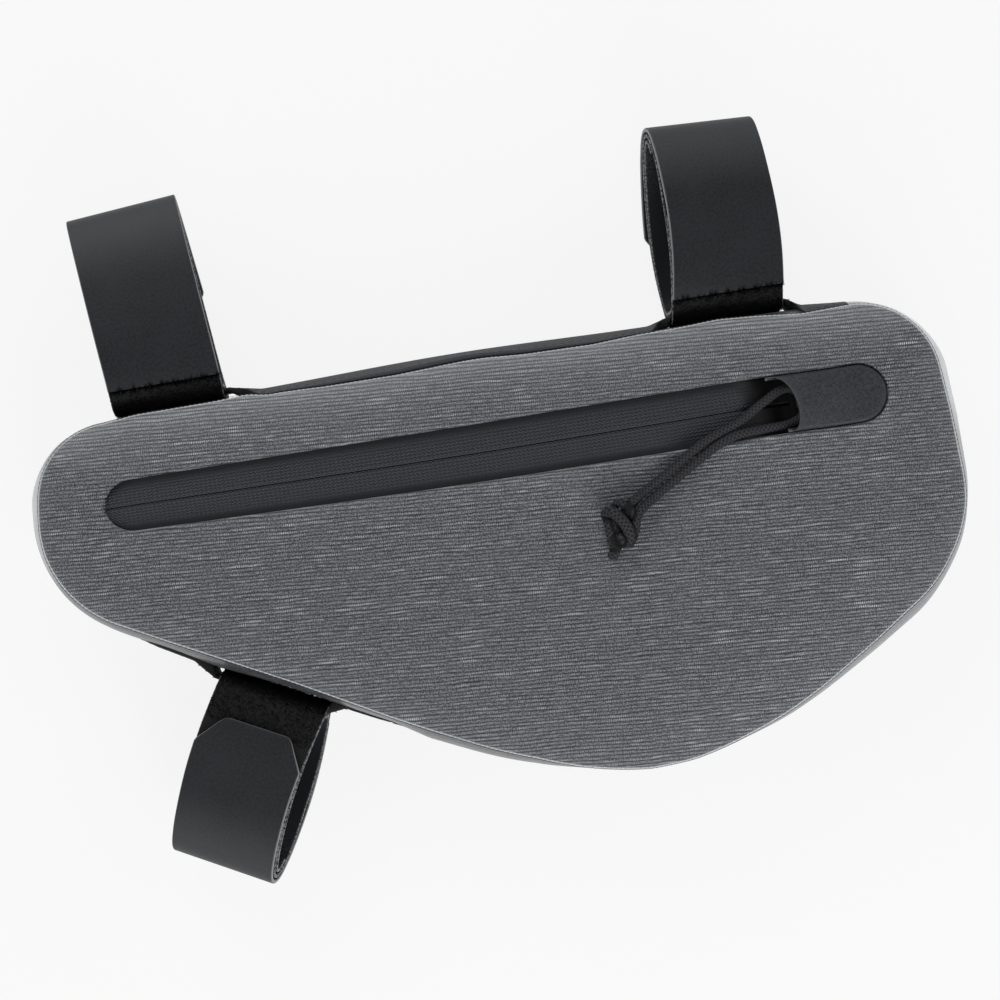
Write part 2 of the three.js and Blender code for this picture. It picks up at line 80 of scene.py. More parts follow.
# How far the sewn cloth stands out from the drawing: the share of the way round the outline, then the
# wall's widest line and the panel's seam.
EASE = np.array([
    (0, -0.9, 0.5), (0.015, -1.1, 0.2), (0.05, -0.2, -0.5), (0.08, -0.2, 0.4), (0.12, -1.3, 0.6),
    (0.145, -0.7, 0.8), (0.17, 0.2, 0.8), (0.205, -1, 0.8), (0.235, -0.7, 1.4), (0.25, -0.9, 1.7),
    (0.268, 0.9, 1.7), (0.3, -0.1, 1.1), (0.315, -0.8, 1.1), (0.34, -0.6, 2.8), (0.365, 0.9, 4.4),
    (0.385, 1.1, 4.3), (0.41, -0.1, 2.7), (0.44, -0.3, 1.7), (0.48, 0.2, 1), (0.5, -0.2, 0),
    (0.53, -0.4, 0.5), (0.555, -0.6, 1.6), (0.575, 0.4, 1.5), (0.595, 1.2, 1.6), (0.62, 0.8, 0.8),
    (0.645, -0.6, 0.3), (0.66, -1.1, 0.1), (0.675, -0.7, 0), (0.694, -0.4, -0.4), (0.7125, -0.2, 1.2),
    (0.73, 0, 2.2), (0.745, 0, 1.6), (0.765, 0, 1.4), (0.785, 0, 0.6), (0.814, 0, 1), (0.833, 0, 2),
    (0.842, 0, 2), (0.87, 0, 1), (0.9, 0, 1), (0.917, 0, 1.4), (0.927, 0, 1.4), (0.936, 0, 2.6),
    (0.95, 0, 2), (0.985, 0, 1.8),
])
# Painted sheen on the wall: how much paler it is painted, by the share of the way round, between two heights
# of the wall.
PAINTED_WALL_SHEEN = np.array([
    (0, 0), (0.025, 0.05), (0.04, 0.7), (0.055, 0.9), (0.075, 0.7), (0.095, 0.1), (0.12, 0),
    (0.34, 0.02), (0.42, 0.12), (0.48, 0.2), (0.55, 0.28), (0.585, 0.5), (0.605, 1.1), (0.645, 1.1),
    (0.67, 0.6), (0.69, 0),
])
PAINTED_SHEEN_FROM, PAINTED_SHEEN_TO = 17, 36

# Wall: its ends, its widest height, how much more than the bulge it loses at the back, and the powers of
# its curve.
BACK_Z, FRONT_Z, MID_DEPTH = 1.9, 42.7, 24
BACK_SEAM, BACK_CURVE, FRONT_CURVE = 1.15, 3.2, 2.75
WALL_LINES = 30
DENTS = ((0.2, 9, 0.7), (0.18, 16, 2.1), (0.12, 27, 4.0))  # depth, number round the bag and phase
TOP_SWELL_FROM, TOP_SWELL_TO, TOP_SWELL = 84, 244, 1.5  # the top wall stands out between its straps
# Insets of the back panel's lines, from underneath over its edge to the top.
BACK_INSETS = np.array([14, 4, 1.0, 0.4, 0.1, 0, 0.1, 0.4, 1.0, 4, 14])

# Front panel: the height of its seam, its crown, its turned edge from the seam, and the distances of its
# lines from the zip window and from the lip, with the lines between them. The underside repeats a few of
# them.
FRONT_SEAM_Z, PANEL_INSET = 43, 0.3
CROWN, CROWN_REACH, CROWN_BLUR = 5.6, 28, 5
NEAR_WINDOW = np.array([0, 0.3, 0.7, 1.2, 2.0, 3.2])[:, None]
NEAR_LIP = np.array([5.0, 3.2, 2.0, 1.2, 0.6, 0.2, 0])[:, None]
LINES_BETWEEN = 30
UNDER_LINES = np.array([-1, -6, -14, -24, -34, 0])
# Roll of cloth round the window, how round the two edges are, and the painted highlights along the
# window's lower edge, the lip and the top edge, with their reach.
ROLL, ROLL_AT, ROLL_WIDE = 0.3, 1.1, 0.9
WINDOW_ROUND, LIP_ROUND = 1.0, 1.4
WINDOW_HIGHLIGHT, LIP_HIGHLIGHT, TOP_HIGHLIGHT = (0.33, 0.25), (0.05, 4), (0.19, 8)
# Cloth that settles between window and seam: stiffness, air pressure and slack, and the most that it may
# move.
SETTLING = {
    "quality": 6, "mass": 0.2, "tension_stiffness": 20, "compression_stiffness": 12, "shear_stiffness": 5,
    "bending_stiffness": 1.5, "shrink_min": -0.006, "use_pressure": True, "uniform_pressure_force": 1.5,
}
SETTLING_STEPS = 20
SWELL_UP, SWELL_DOWN = 0.5, 1.2

# Zip: its window, its tape with the flange under the panel, the dip of the tape into the garage, and
# where painted shade covers the tape under the garage. The places across the tape go from the tooth line to
# the flange.
ZIP_X0, ZIP_X1, ZIP_Y, ZIP_WIDTH = -130.5, 133.4, 15.7, 19.6
ZIP_TAPE, ZIP_FLANGE, ZIP_END, ZIP_CLEAR, ZIP_STEPS = 1.2, 5, 127, 0.1, 330
# Line of the window: how far its middle lies over the drawing's, rises to the rear and sinks to the
# front, how much it narrows to the rear, and how far beyond it the panel moves along.
ZIP_SHIFT, ZIP_RISE, ZIP_SINK, ZIP_NARROW, ZIP_FADE = 0.9, 1.3, 0.6, 1.2, 16
ZIP_DIP_FROM, ZIP_DIP_TO, ZIP_DIP = 82, 99.5, 6.5
ZIP_SHADE_FROM, ZIP_SHADE_TO = 82, 93
ZIP_ACROSS = np.array([
    0.15, 0.25, 0.4, 0.65, 1.0, 1.6, 2.6, 3.8, 5.0, 5.7, 6.0, 6.3, 6.6, 7.4, 8.6, 9.8, 12, 14.8,
])
TOOTH_BAND, TOOTH_GROOVE = 0.25, 0.4
GARAGE_TOP_X, GARAGE_LOW_X, GARAGE_MOUTH_X, GARAGE_PROUD = 93.5, 98.5, 102.6, 0.8
GARAGE_CLEAR, GARAGE_FILM, GARAGE_ARCH, GARAGE_LIP, GARAGE_ROUND = 0.25, 1.1, 1.5, 1.0, 1.1

SEAM_STEP, SEAM_TWIST = 0.35, 1.6
SEAM_STITCH, SEAM_STITCH_HALF, SEAM_STITCH_RADIUS = 1.6, 0.8, 0.1

CORD_WIDTH, CORD_SIDES, CORD_STEP = 3.0, 40, 0.25
BRAID_STRANDS, BRAID_RELIEF = 5, 0.06
EYE = 8  # row of the cord's route that lies in the slider's eye
# Cord from the knot through the slider's eye and back to the knot: x, y and the height of its middle over
# the panel.
CORD_ROUTE = np.array([
    (41.6, -10.9, 3.4), (44.2, -7.5, 1.95), (56.6, 0.1, 1.75), (69.0, 7.6, 1.75), (83.0, 13.0, -0.1),
    (91.5, 17.9, -1.0), (100.0, 21.5, -3.9), (104.2, 19.7, -4.4), (106.0, 15.7, -4.4), (104.2, 11.7, -4.4),
    (100.0, 9.8, -3.9), (90.5, 9.3, -0.9), (81.5, 8.7, 0.9), (75.0, 6.6, 1.8), (70.9, 4.5, 1.8),
    (58.3, -2.9, 1.75), (46.2, -10.2, 1.95), (43.4, -13.6, 3.4),
])
KNOT_X, KNOT_Y, KNOT_TALL, KNOT_RISE, KNOT_STEPS = 39.9, -14.0, 3.9, 0.9, 90
KNOT_TURN = np.radians(-9.2)
# Lengths of cord in the knot: half width, share of it that is the half height, then places along the
# knot's own two axes in the plan and out from its middle. They are the core, the two strands that come
# in, the upper loop, the band that wraps across, the left strand, the strand behind the band, the short
# end and the tail.
KNOT_STRANDS = (
    (2.8, 0.8, (1.0, 3.6, -1.2), (-1.4, -1.0, -1.4), (-2.6, -6.0, -1.8)),
    (1.5, 1.0, (8.5, 12.1, -2.8), (6.2, 10.2, -2.4), (3.6, 8.1, -0.8), (1.6, 6.3, 0.3), (0.8, 4.4, 0.5),
     (0.6, 2.4, 0.2)),
    (1.6, 0.9, (12.2, 10.5, -2.8), (9.4, 8.0, -2.5), (6.6, 5.6, -0.9), (4.6, 3.3, 0.5), (3.5, 0.5, 0.9),
     (3.2, -2.6, 0.3), (2.2, -5.6, -0.8), (0.8, -7.6, -1.8)),
    (1.5, 0.8, (-3.9, 4.8, -1.4), (-3.0, 6.1, -0.4), (-1.3, 6.4, 0.5), (0.5, 5.3, 0.9), (1.9, 3.5, 0.9),
     (2.6, 1.4, 0.3)),
    (1.9, 0.62, (-6.6, 1.6, -1.8), (-6.2, 3.0, 0.2), (-4.6, 3.5, 1.8), (-2.2, 1.6, 2.6),
     (-0.35, -0.45, 2.6), (1.1, -3.0, 2.1), (1.5, -5.2, 1.0), (0.6, -7.6, -0.8)),
    (1.8, 1.0, (-6.0, 1.6, -1.6), (-5.4, -0.6, -0.6), (-4.9, -3.2, -0.6), (-4.3, -5.6, -0.8),
     (-3.4, -8.0, -1.8)),
    (1.6, 1.0, (-4.2, 1.2, -0.6), (-3.3, -1.2, -0.1), (-2.2, -3.4, -0.4), (-0.9, -5.6, -1.0),
     (-0.2, -7.8, -1.7)),
    (2.1, 1.0, (-0.2, -4.6, -0.8), (-1.5, -5.2, 0.3), (-2.5, -5.8, 1.2)),
    (1.9, 0.5, (-2.6, -7.2, -1.8), (-3.4, -9.6, -2.7), (-4.3, -12.2, -3.7)),
)

STRIP_THICK, STRIP_LIFT, STRIP_REST, STRIP_STEP = 1.6, 2.4, 0.15, 1.2
STRIP_LOW, STRIP_HIGH, SKIRT_HIGH = 15, 33, 8.6
# Strips: where each starts and stops along its side, how far its upper edge runs out thinly over the wall
# between the straps, how far it is pressed into the wall, and for each strap its middle and the lengths
# of the strip's ramps before and after it, of the face and then of the underside.
Strip = namedtuple("Strip", "name side start stop skirt sunk over")
STRIPS = (
    Strip("top_anchor_strip", TOP_SIDE, 29, 278.6, 9.6, 0, ((259.4, 11, 13, 3.5, 13), (68.5, 5, 8, 1, 1))),
    Strip("lower_anchor_strip", LOWER_REAR_SIDE, 30, 135, 0, 0.9, ((83.9, 9, 6, 2.2, 0.4),)),
)
# Lock stitches of a strip: shares of its width and the pitch of its long rows, the shares of its cross
# rows and their distance beside a strap.
LONG_ROWS, LONG_PITCH, LONG_END = (0.1, 0.9), 3.0, 4
CROSS_ROW, CROSS_BESIDE = np.arange(0.16, 0.6, 0.1), 3.2
LONG_HALF, CROSS_HALF, LOCK_RADIUS = 1.1, 0.8, 0.14

# Straps: along is the place on the side, reach the distance out from the wall, lean the sideways drift of
# the far end, twist its turn in degrees and settle the share of the reach in which it comes, tab_side +1
# with the chamfered tab to the front, tab the place of its end, and skew how far the tab was laid aside.
Strap = namedtuple("Strap", "name side along reach lean twist settle tab_side tab skew")
STRAPS = (
    Strap("strap_top_rear", TOP_SIDE, 260.4, 70.8, 6.8, 3.4, 0.1, -1, 27, -1.2),
    Strap("strap_top_front", TOP_SIDE, 69.1, 68.3, -1.1, 14.5, 0.5, -1, 21.5, 1.4),
    Strap("strap_lower", LOWER_REAR_SIDE, 84.9, 64.8, 1.7, 19, 0.8, 1, 14.5, 0),
)
STRAP_WIDTH, LOOP_TAPE, HOOK_TAPE, TAPE_ROUND = 38, 1.8, 1.5, 0.45
TAB_ACROSS, TAB_ALONG, TAB_ROUND = 7.5, 10.5, 1.5
# Places out from the wall where the hook tape ends and the loop tape starts, and the share where that one
# ends.
HOOK_END, LOOP_START, LOOP_END = 8, 36, 0.86
PILE_SUNK = 0.3  # thickness of the loop tape that is its pile
FIBRE_RADIUS, FIBRE_TAPER, DULL_SHARE = 0.075, 0.8, 0.972
# Hole of a strap's loop: share of its length, and its half width there.
STRAP_HOLE = np.array([
    (0, 0), (0, 7.5), (0.04, 11), (0.2, 12.6), (0.45, 11.2), (0.7, 7.6), (0.92, 3.2), (1, 0),
])
STRIP_STACK = GAP + LOOP_TAPE + GAP + STRIP_THICK + GAP
INNER_LAYER = LOOP_TAPE / 2
OUTER_LAYER = INNER_LAYER + LOOP_TAPE + GAP
HOOK_LAYER = OUTER_LAYER + LOOP_TAPE / 2 + GAP + HOOK_TAPE / 2

# Stage, in metres and watts. The floor lies a hair under the bag, so the two flat faces do not mix.
FLOOR_HALF, FLOOR_DROP = 3.0, 0.2 * MM
SKY, SKY_STRENGTH = (0.93, 0.96, 1.0, 1), 0.27
SOFTBOX = 1.0
LAMPS = (
    ("top softbox", (-0.25, 1.15, 0.85), 8.5),
    ("bottom softbox", (0.2, -1.15, 0.85), 14.0),
    ("rear softbox", (-1.2, -0.1, 0.8), 5.0),
    ("front softbox", (1.2, 0.1, 0.8), 5.0),
)
SENSOR = 36

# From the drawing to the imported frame.
SHIFT = np.array([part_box("zip_slider")[1].x / MM - 115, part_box("gusset")[1].y / MM - 48.5, 0])


def linear(hex_colour):
    """Linear colour of an sRGB hex value."""
    c = np.array([int(hex_colour[i:i + 2], 16) for i in (0, 2, 4)]) / 255
    return tuple(np.where(c <= 0.04045, c / 12.92, ((c + 0.055) / 1.055) ** 2.4).tolist())


def rgba(colour, share=1.0):
    """A share of a colour, opaque, for a node's socket."""
    return (*(share * c for c in colour), 1)


def smoothstep(x, low, high):
    """0 below low, 1 above high and a smooth cubic between."""
    t = np.clip((x - low) / (high - low), 0, 1)
    return t * t * (3 - 2 * t)


def unit(v):
    """Vectors at length 1."""
    return v / np.linalg.norm(v, axis=-1, keepdims=True)


def lengths(points):
    """Distance travelled along a line of points, from 0."""
    return np.concatenate([[0], np.cumsum(np.linalg.norm(np.diff(points, axis=0), axis=-1))])


def smooth_curve(points, closed, t):
    """Centripetal spline: in each span a cubic through its two ends, whose end slopes come from the
    neighbouring points with every span timed by the square root of its length. t runs from 0 to 1 over
    the whole curve."""
    n = len(points)
    spans = n if closed else n - 1
    p = np.asarray(t) * spans
    i = np.floor(p).astype(int)
    if closed:
        row = [points[(i + k - 1) % n] for k in range(4)]
    else:
        i = np.clip(i, 0, spans - 1)
        longer = np.vstack([2 * points[0] - points[1], points, 2 * points[-1] - points[-2]])
        row = [longer[i + k] for k in range(4)]
    w = (p - i)[:, None]
    d = [np.sqrt(np.linalg.norm(row[k + 1] - row[k], axis=1, keepdims=True)) for k in range(3)]
    m1 = ((row[1] - row[0]) / d[0] - (row[2] - row[0]) / (d[0] + d[1]) + (row[2] - row[1]) / d[1]) * d[1]
    m2 = ((row[2] - row[1]) / d[1] - (row[3] - row[1]) / (d[1] + d[2]) + (row[3] - row[2]) / d[2]) * d[1]
    c2 = 3 * (row[2] - row[1]) - 2 * m1 - m2
    c3 = 2 * (row[1] - row[2]) + m1 + m2
    return row[1] + w * (m1 + w * (c2 + w * c3))


class Cloth:
    """Points, faces, texture places and marks of one piece, gathered grid by grid, in millimetres."""

    def __init__(self):
        self.points, self.marks, self.faces, self.places = [], [], [], []
        self.total = 0

    def _add(self, points, mark):
        """Takes in points with their marks and gives the number of the first."""
        first = self.total
        points = points.reshape(-1, 3)
        self.points.append(points)
        self.marks.append(np.broadcast_to(mark, len(points)).astype(float))
        self.total += len(points)
        return first

    def grid(self, points, places, mark=0.0, wrap=(False, False), caps=False):
        """Quads between the rows and columns of points. A wrapped direction joins its last line to its
        first and has one more line of texture places. Caps close the first and last row of a band with
        rungs from side to side."""
        rows, cols = points.shape[:2]
        first = self._add(points, np.broadcast_to(mark, (rows, cols)).ravel())
        r, c = np.meshgrid(np.arange(rows - (not wrap[0])), np.arange(cols - (not wrap[1])), indexing="ij")
        corners = [(r, c), (r, c + 1), (r + 1, c + 1), (r + 1, c)]
        index = np.stack([(a % rows) * cols + b % cols for a, b in corners], -1).reshape(-1, 4)
        self.faces.append(first + index)
        self.places.append(np.stack([places[a, b] for a, b in corners], 2).reshape(-1, 4, 2))
        if caps:
            k = np.arange(cols // 2 - 1)
            rung = np.stack([k, k + 1, cols - 2 - k, cols - 1 - k], 1)
            for row in (0, rows - 1):
                self.faces.append(first + row * cols + rung)
                self.places.append(places[row][rung])

    def disc(self, corners, places):
        """One flat face over a ring of points of the piece, given by their numbers."""
        self.faces.append(corners[None])
        self.places.append(places[None])

    def copies(self, points, faces, places, mark=0.0):
        """The same small form many times: points is copies by points, faces lists the form's corners."""
        count, each = points.shape[:2]
        first = self._add(points, np.repeat(np.broadcast_to(mark, count), each))
        start = first + each * np.arange(count)[:, None]
        for corners in faces:
            self.faces.append(start + np.array(corners))
            self.places.append(np.repeat(places[:, None], len(corners), 1))

    def piece(self, name, material, replaces=(), sharp=None, outward=True):
        """The finished object at the origin, with its place in its mesh."""
        mesh = bpy.data.meshes.new(name)
        points = (np.concatenate(self.points) + SHIFT) * MM
        sizes = np.concatenate([np.full(len(f), f.shape[1]) for f in self.faces])
        loops = np.concatenate([f.ravel() for f in self.faces])
        mesh.vertices.add(len(points))
        mesh.vertices.foreach_set("co", points.ravel())
        mesh.loops.add(len(loops))
        mesh.loops.foreach_set("vertex_index", loops)
        mesh.polygons.add(len(sizes))
        mesh.polygons.foreach_set("loop_start", np.concatenate([[0], np.cumsum(sizes)[:-1]]))
        places = mesh.uv_layers.new(name=UV)
        places.data.foreach_set("uv", np.concatenate([p.ravel() for p in self.places]) * MM)
        mark = mesh.attributes.new(EDGE, "FLOAT", "POINT")
        mark.data.foreach_set("value", np.concatenate(self.marks))
        mesh.update(calc_edges=True)
        if mesh.validate():
            raise RuntimeError(f"{name} has faulty faces")
        if outward:
            work = bmesh.new()
            work.from_mesh(mesh)
            bmesh.ops.recalc_face_normals(work, faces=work.faces)
            work.to_mesh(mesh)
            work.free()
        mesh.shade_smooth()
        if sharp is not None:
            mesh.set_sharp_from_angle(angle=np.radians(sharp))
        mesh.materials.append(material)
        made = bpy.data.objects.new(name, mesh)
        bpy.context.scene.collection.objects.link(made)
        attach(made, BODY)
        if replaces:
            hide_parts(*replaces)
        return made


def side(i):
    """Start, direction, outward normal and length of one side of the outline."""
    a = np.array(OUTLINE[i][:2])
    along = np.array(OUTLINE[(i + 1) % len(OUTLINE)][:2]) - a
    length = np.linalg.norm(along)
    along = along / length
    return a, along, np.array([along[1], -along[0]]), length


def bag_outline(seam, inset):
    """Points round the bag: every side is moved in by seam times its bulge plus inset, the sides are met
    again in corners, and each corner is rounded by an arc of its radius less the mean move of its two
    sides. Outlines of any inset match point for point."""
    n = len(OUTLINE)
    sides = [side(i) for i in range(n)]
    move = [seam * c.bulge + inset for c in OUTLINE]
    arcs = []
    for i, corner in enumerate(OUTLINE):
        a, b = sides[i - 1], sides[i]
        p = b[0] - a[2] * move[i - 1]
        q = b[0] - b[2] * move[i]
        turn_sine = a[1][0] * b[1][1] - a[1][1] * b[1][0]
        gap = q - p
        met = p + a[1] * (gap[0] * b[1][1] - gap[1] * b[1][0]) / turn_sine
        turn = np.arctan2(turn_sine, a[1] @ b[1])
        radius = max(corner.radius - (move[i] + move[i - 1]) / 2, LEAST_RADIUS)
        start = met - a[1] * radius * np.tan(turn / 2)
        inward = np.array([-a[1][1], a[1][0]])
        angle = (turn * np.linspace(0, 1, corner.arc_steps + 1))[:, None]
        arcs.append(start + inward * radius + radius * (a[1] * np.sin(angle) - inward * np.cos(angle)))
    parts = []
    for i, corner in enumerate(OUTLINE):
        share = np.linspace(0, 1, corner.side_steps + 1)[1:-1, None]
        parts += [arcs[i], arcs[i][-1] + (arcs[(i + 1) % n][0] - arcs[i][-1]) * share]
    return np.vstack(parts)


def ring_distance(ring, xy):
    """Least distance of each point from a closed line of short straight pieces."""
    d = np.roll(ring, -1, 0) - ring
    away = xy[..., None, :] - ring
    t = np.clip((away * d).sum(-1) / (d * d).sum(-1), 0, 1)
    return np.linalg.norm(away - t[..., None] * d, axis=-1).min(-1)


def ring_normals(ring):
    """Outward directions of a closed line in the plan."""
    ahead = unit(np.roll(ring, -1, 0) - np.roll(ring, 1, 0))
    return np.stack([ahead[:, 1], -ahead[:, 0]], 1)


def ring_shares(ring):
    """Share of the way round of each point of a closed line."""
    around = lengths(np.vstack([ring, ring[:1]]))
    return around[:-1] / around[-1]


WIDEST = bag_outline(0, 0)
WIDEST_NORMAL = ring_normals(WIDEST)
WIDEST_SHARE = ring_shares(WIDEST)
WALL_EASE, LIP_EASE = (np.interp(WIDEST_SHARE, EASE[:, 0], EASE[:, k], period=1) for k in (1, 2))


def lip_ring(inset):
    """The front seam with its ease, moved in by inset."""
    return bag_outline(1, inset) + LIP_EASE[:, None] * WIDEST_NORMAL


SEAM_RING = lip_ring(0)


def front_height(xy):
    """Height of the front panel's face: the seam's height plus a parabola over the distance from the
    seam. Away from the seam it is the mean of the height on a small circle, so no ridge is left where two
    sides are equally near."""

    def crown(at):
        """Parabola over the distance from the seam, and that distance."""
        away = ring_distance(SEAM_RING, at)
        return CROWN * (1 - (1 - np.clip(away / CROWN_REACH, 0, 1)) ** 2), away

    rise, away = crown(xy)
    angle = np.arange(6) * np.pi / 3
    circle = CROWN_BLUR * np.stack([np.cos(angle), np.sin(angle)], 1)
    mean = sum(crown(xy + step)[0] for step in circle) / len(circle)
    return FRONT_SEAM_Z + WALL + rise + (mean - rise) * smoothstep(away, 6, 12)


def bend_zip(xy):
    """Moves plan places so that the straight zip window takes its true line: it rises and narrows to the
    rear end, and the move dies out beyond the window."""
    x, y = xy[..., 0], xy[..., 1] - ZIP_Y
    half = ZIP_WIDTH / 2
    middle = ZIP_SHIFT + ZIP_RISE * np.clip(-x / 120, 0, 1) ** 1.3 - ZIP_SINK * smoothstep(x, 88, 120)
    narrow = ZIP_NARROW * np.clip((30 - x) / 150, 0, 1) ** 1.5
    beyond = np.hypot(np.maximum(np.abs(y) - half, 0), x - np.clip(x, ZIP_X0, ZIP_X1))
    move = (middle - narrow * np.clip(y / half, -1, 1)) * (1 - smoothstep(beyond, 0, ZIP_FADE))
    return np.stack([x, xy[..., 1] + move], -1)


def lift(xy, z):
    """Points from plan places and heights."""
    return np.concatenate([xy, np.broadcast_to(z, xy.shape[:-1])[..., None]], -1)


def round_off(distance, radius):
    """Fall of a quarter-round edge: the radius at the edge itself, 0 from one radius in."""
    t = np.clip(1 - distance / radius, 0, 1)
    return radius * (1 - np.sqrt(1 - t * t))


def add(tree, kind, inputs=None, **settings):
    """Adds a node: inputs gives each socket a value or the socket that feeds it, settings are its own."""
    made = tree.nodes.new("ShaderNode" + kind)
    for name, value in settings.items():
        setattr(made, name, value)
    for socket, source in (inputs or {}).items():
        if isinstance(source, bpy.types.NodeSocket):
            tree.links.new(source, made.inputs[socket])
        else:
            made.inputs[socket].default_value = source
    return made.outputs


def new_material(name, **constants):
    """An empty node material and its tree, with constant values on its shader's sockets, _ for a space."""
    material = bpy.data.materials.new(name)
    material.use_nodes = True
    shader = material.node_tree.nodes["Principled BSDF"]
    for socket, value in constants.items():
        shader.inputs[socket.replace("_", " ")].default_value = value
    return material, material.node_tree


def connect(tree, **sources):
    """Feeds the sockets of a material's shader, each named with _ for a space."""
    for socket, source in sources.items():
        tree.links.new(source, tree.nodes["Principled BSDF"].inputs[socket.replace("_", " ")])


def wave(tree, angle):
    """Ripple from 0 to 1 and back: half of one plus the sine of an angle."""
    return add(tree, "MapRange", {0: add(tree, "Math", {0: angle}, operation="SINE")[0], 1: -1.0})[0]


def heather_fabric(name, settings, depth=1.0, **face):
    """Ribbed heather polyester, woven from two greys with a coating on the back: fine ribs that wander a
    little, with broken dark grooves, and light slubs that show as dashes of bright dots along single
    ribs. It is matt with a little sheen. The mark paints highlights on it, strongest on the tops of the
    ribs. depth is the share of its colours that it keeps, and face gives the gloss of a film over it."""
    material, tree = new_material(
        name, Roughness=0.5, Specular_IOR_Level=0.4, Sheen_Weight=0.05, Sheen_Roughness=0.4, **face
    )
    place = add(tree, "UVMap", uv_map=UV)[0]
    plan = add(tree, "SeparateXYZ", {0: place})
    turn = 2 * np.pi
    pitch = settings.rib_pitch

    def cloud(along, across, low, high):
        """Patches with a size along and across the ribs, sharpened between two levels."""
        size = add(tree, "VectorMath", {0: place, 1: (1 / along, 1 / across, 0)}, operation="MULTIPLY")[0]
        pattern = {"Vector": size, "Scale": 1.0, "Detail": 2.0}
        noise = add(tree, "TexNoise", pattern, noise_dimensions="2D")[0]
        return add(tree, "MapRange", {0: noise, 1: low, 2: high})[0]

    def times(*factors):
        """Patterns laid over each other: the product of all."""
        product = factors[0]
        for factor in factors[1:]:
            product = add(tree, "Math", {0: product, 1: factor}, operation="MULTIPLY")[0]
        return product

    # Ribs are counted from groove to groove, and the dots of each rib start at a chance place.
    wander = cloud(0.022, 0.005, 0, 1)
    count = add(tree, "Math", {0: plan[1], 1: 1 / pitch, 2: wander}, operation="MULTIPLY_ADD")[0]
    rib = wave(tree, times(count, turn))
    row = add(tree, "Math", {0: add(tree, "Math", {0: count, 1: 0.25})[0]}, operation="FLOOR")[0]
    chance = add(tree, "TexWhiteNoise", {"W": row}, noise_dimensions="1D")[0]
    drift = times(add(tree, "Math", {0: chance, 1: cloud(0.004, pitch, 0, 1)})[0], turn)
    dots = {0: plan[0], 1: turn / settings.dot_pitch, 2: drift}
    dot = wave(tree, add(tree, "Math", dots, operation="MULTIPLY_ADD")[0])
    open_weave = cloud(0.012, 0.0026, 0.36, 0.6)
    broken = cloud(0.007, pitch * 0.9, 0.32, 0.6)
    slub = times(cloud(settings.slub_length, pitch * 1.1, 0.57, 0.74), cloud(0.035, 0.008, 0.38, 0.62))
    fleck = cloud(0.0006, 0.0005, 0.4, 0.6)
    between = add(tree, "Math", {0: 1.0, 1: rib}, operation="SUBTRACT")[0]
    strength = add(tree, "MapRange", {0: times(open_weave, broken), 3: 0.6, 4: 1.2})[0]
    dotted = add(tree, "MapRange", {0: dot, 3: 1.5, 4: 0.5})[0]
    groove = times(between, between, strength, dotted)
    colours = (settings.yarn_dark, settings.yarn, settings.groove, settings.slub)
    dark, light, deep, bright = (rgba(colour, depth) for colour in colours)
    yarn = add(tree, "Mix", {0: fleck, 6: dark, 7: light}, data_type="RGBA")[2]
    shaded = add(tree, "Mix", {0: groove, 6: yarn, 7: deep}, data_type="RGBA")[2]
    flecked = times(open_weave, cloud(0.004, pitch, 0.45, 0.62), 0.5)
    lit = add(tree, "Math", {0: flecked, 1: slub})[0]
    colour = add(tree, "Mix", {0: times(lit, rib, dot, dot), 6: shaded, 7: bright}, data_type="RGBA")[2]
    # Painted highlight from the mark, strongest on the tops of the ribs.
    tops = add(tree, "MapRange", {0: rib, 3: 0.5, 4: 1.1})[0]
    wear_and_painted_sheen = times(add(tree, "Attribute", attribute_name=EDGE)[2], tops)
    paled = add(tree, "Mix", {0: wear_and_painted_sheen, 6: colour, 7: rgba(settings.edge_and_painted_light)}, data_type="RGBA")[2]
    height = add(tree, "Math", {0: dot, 1: 0.3, 2: rib}, operation="MULTIPLY_ADD")[0]
    relief = add(tree, "Bump", {"Height": height, "Strength": 0.5, "Distance": 0.0003})[0]
    connect(tree, Base_Color=paled, Normal=relief)
    return material


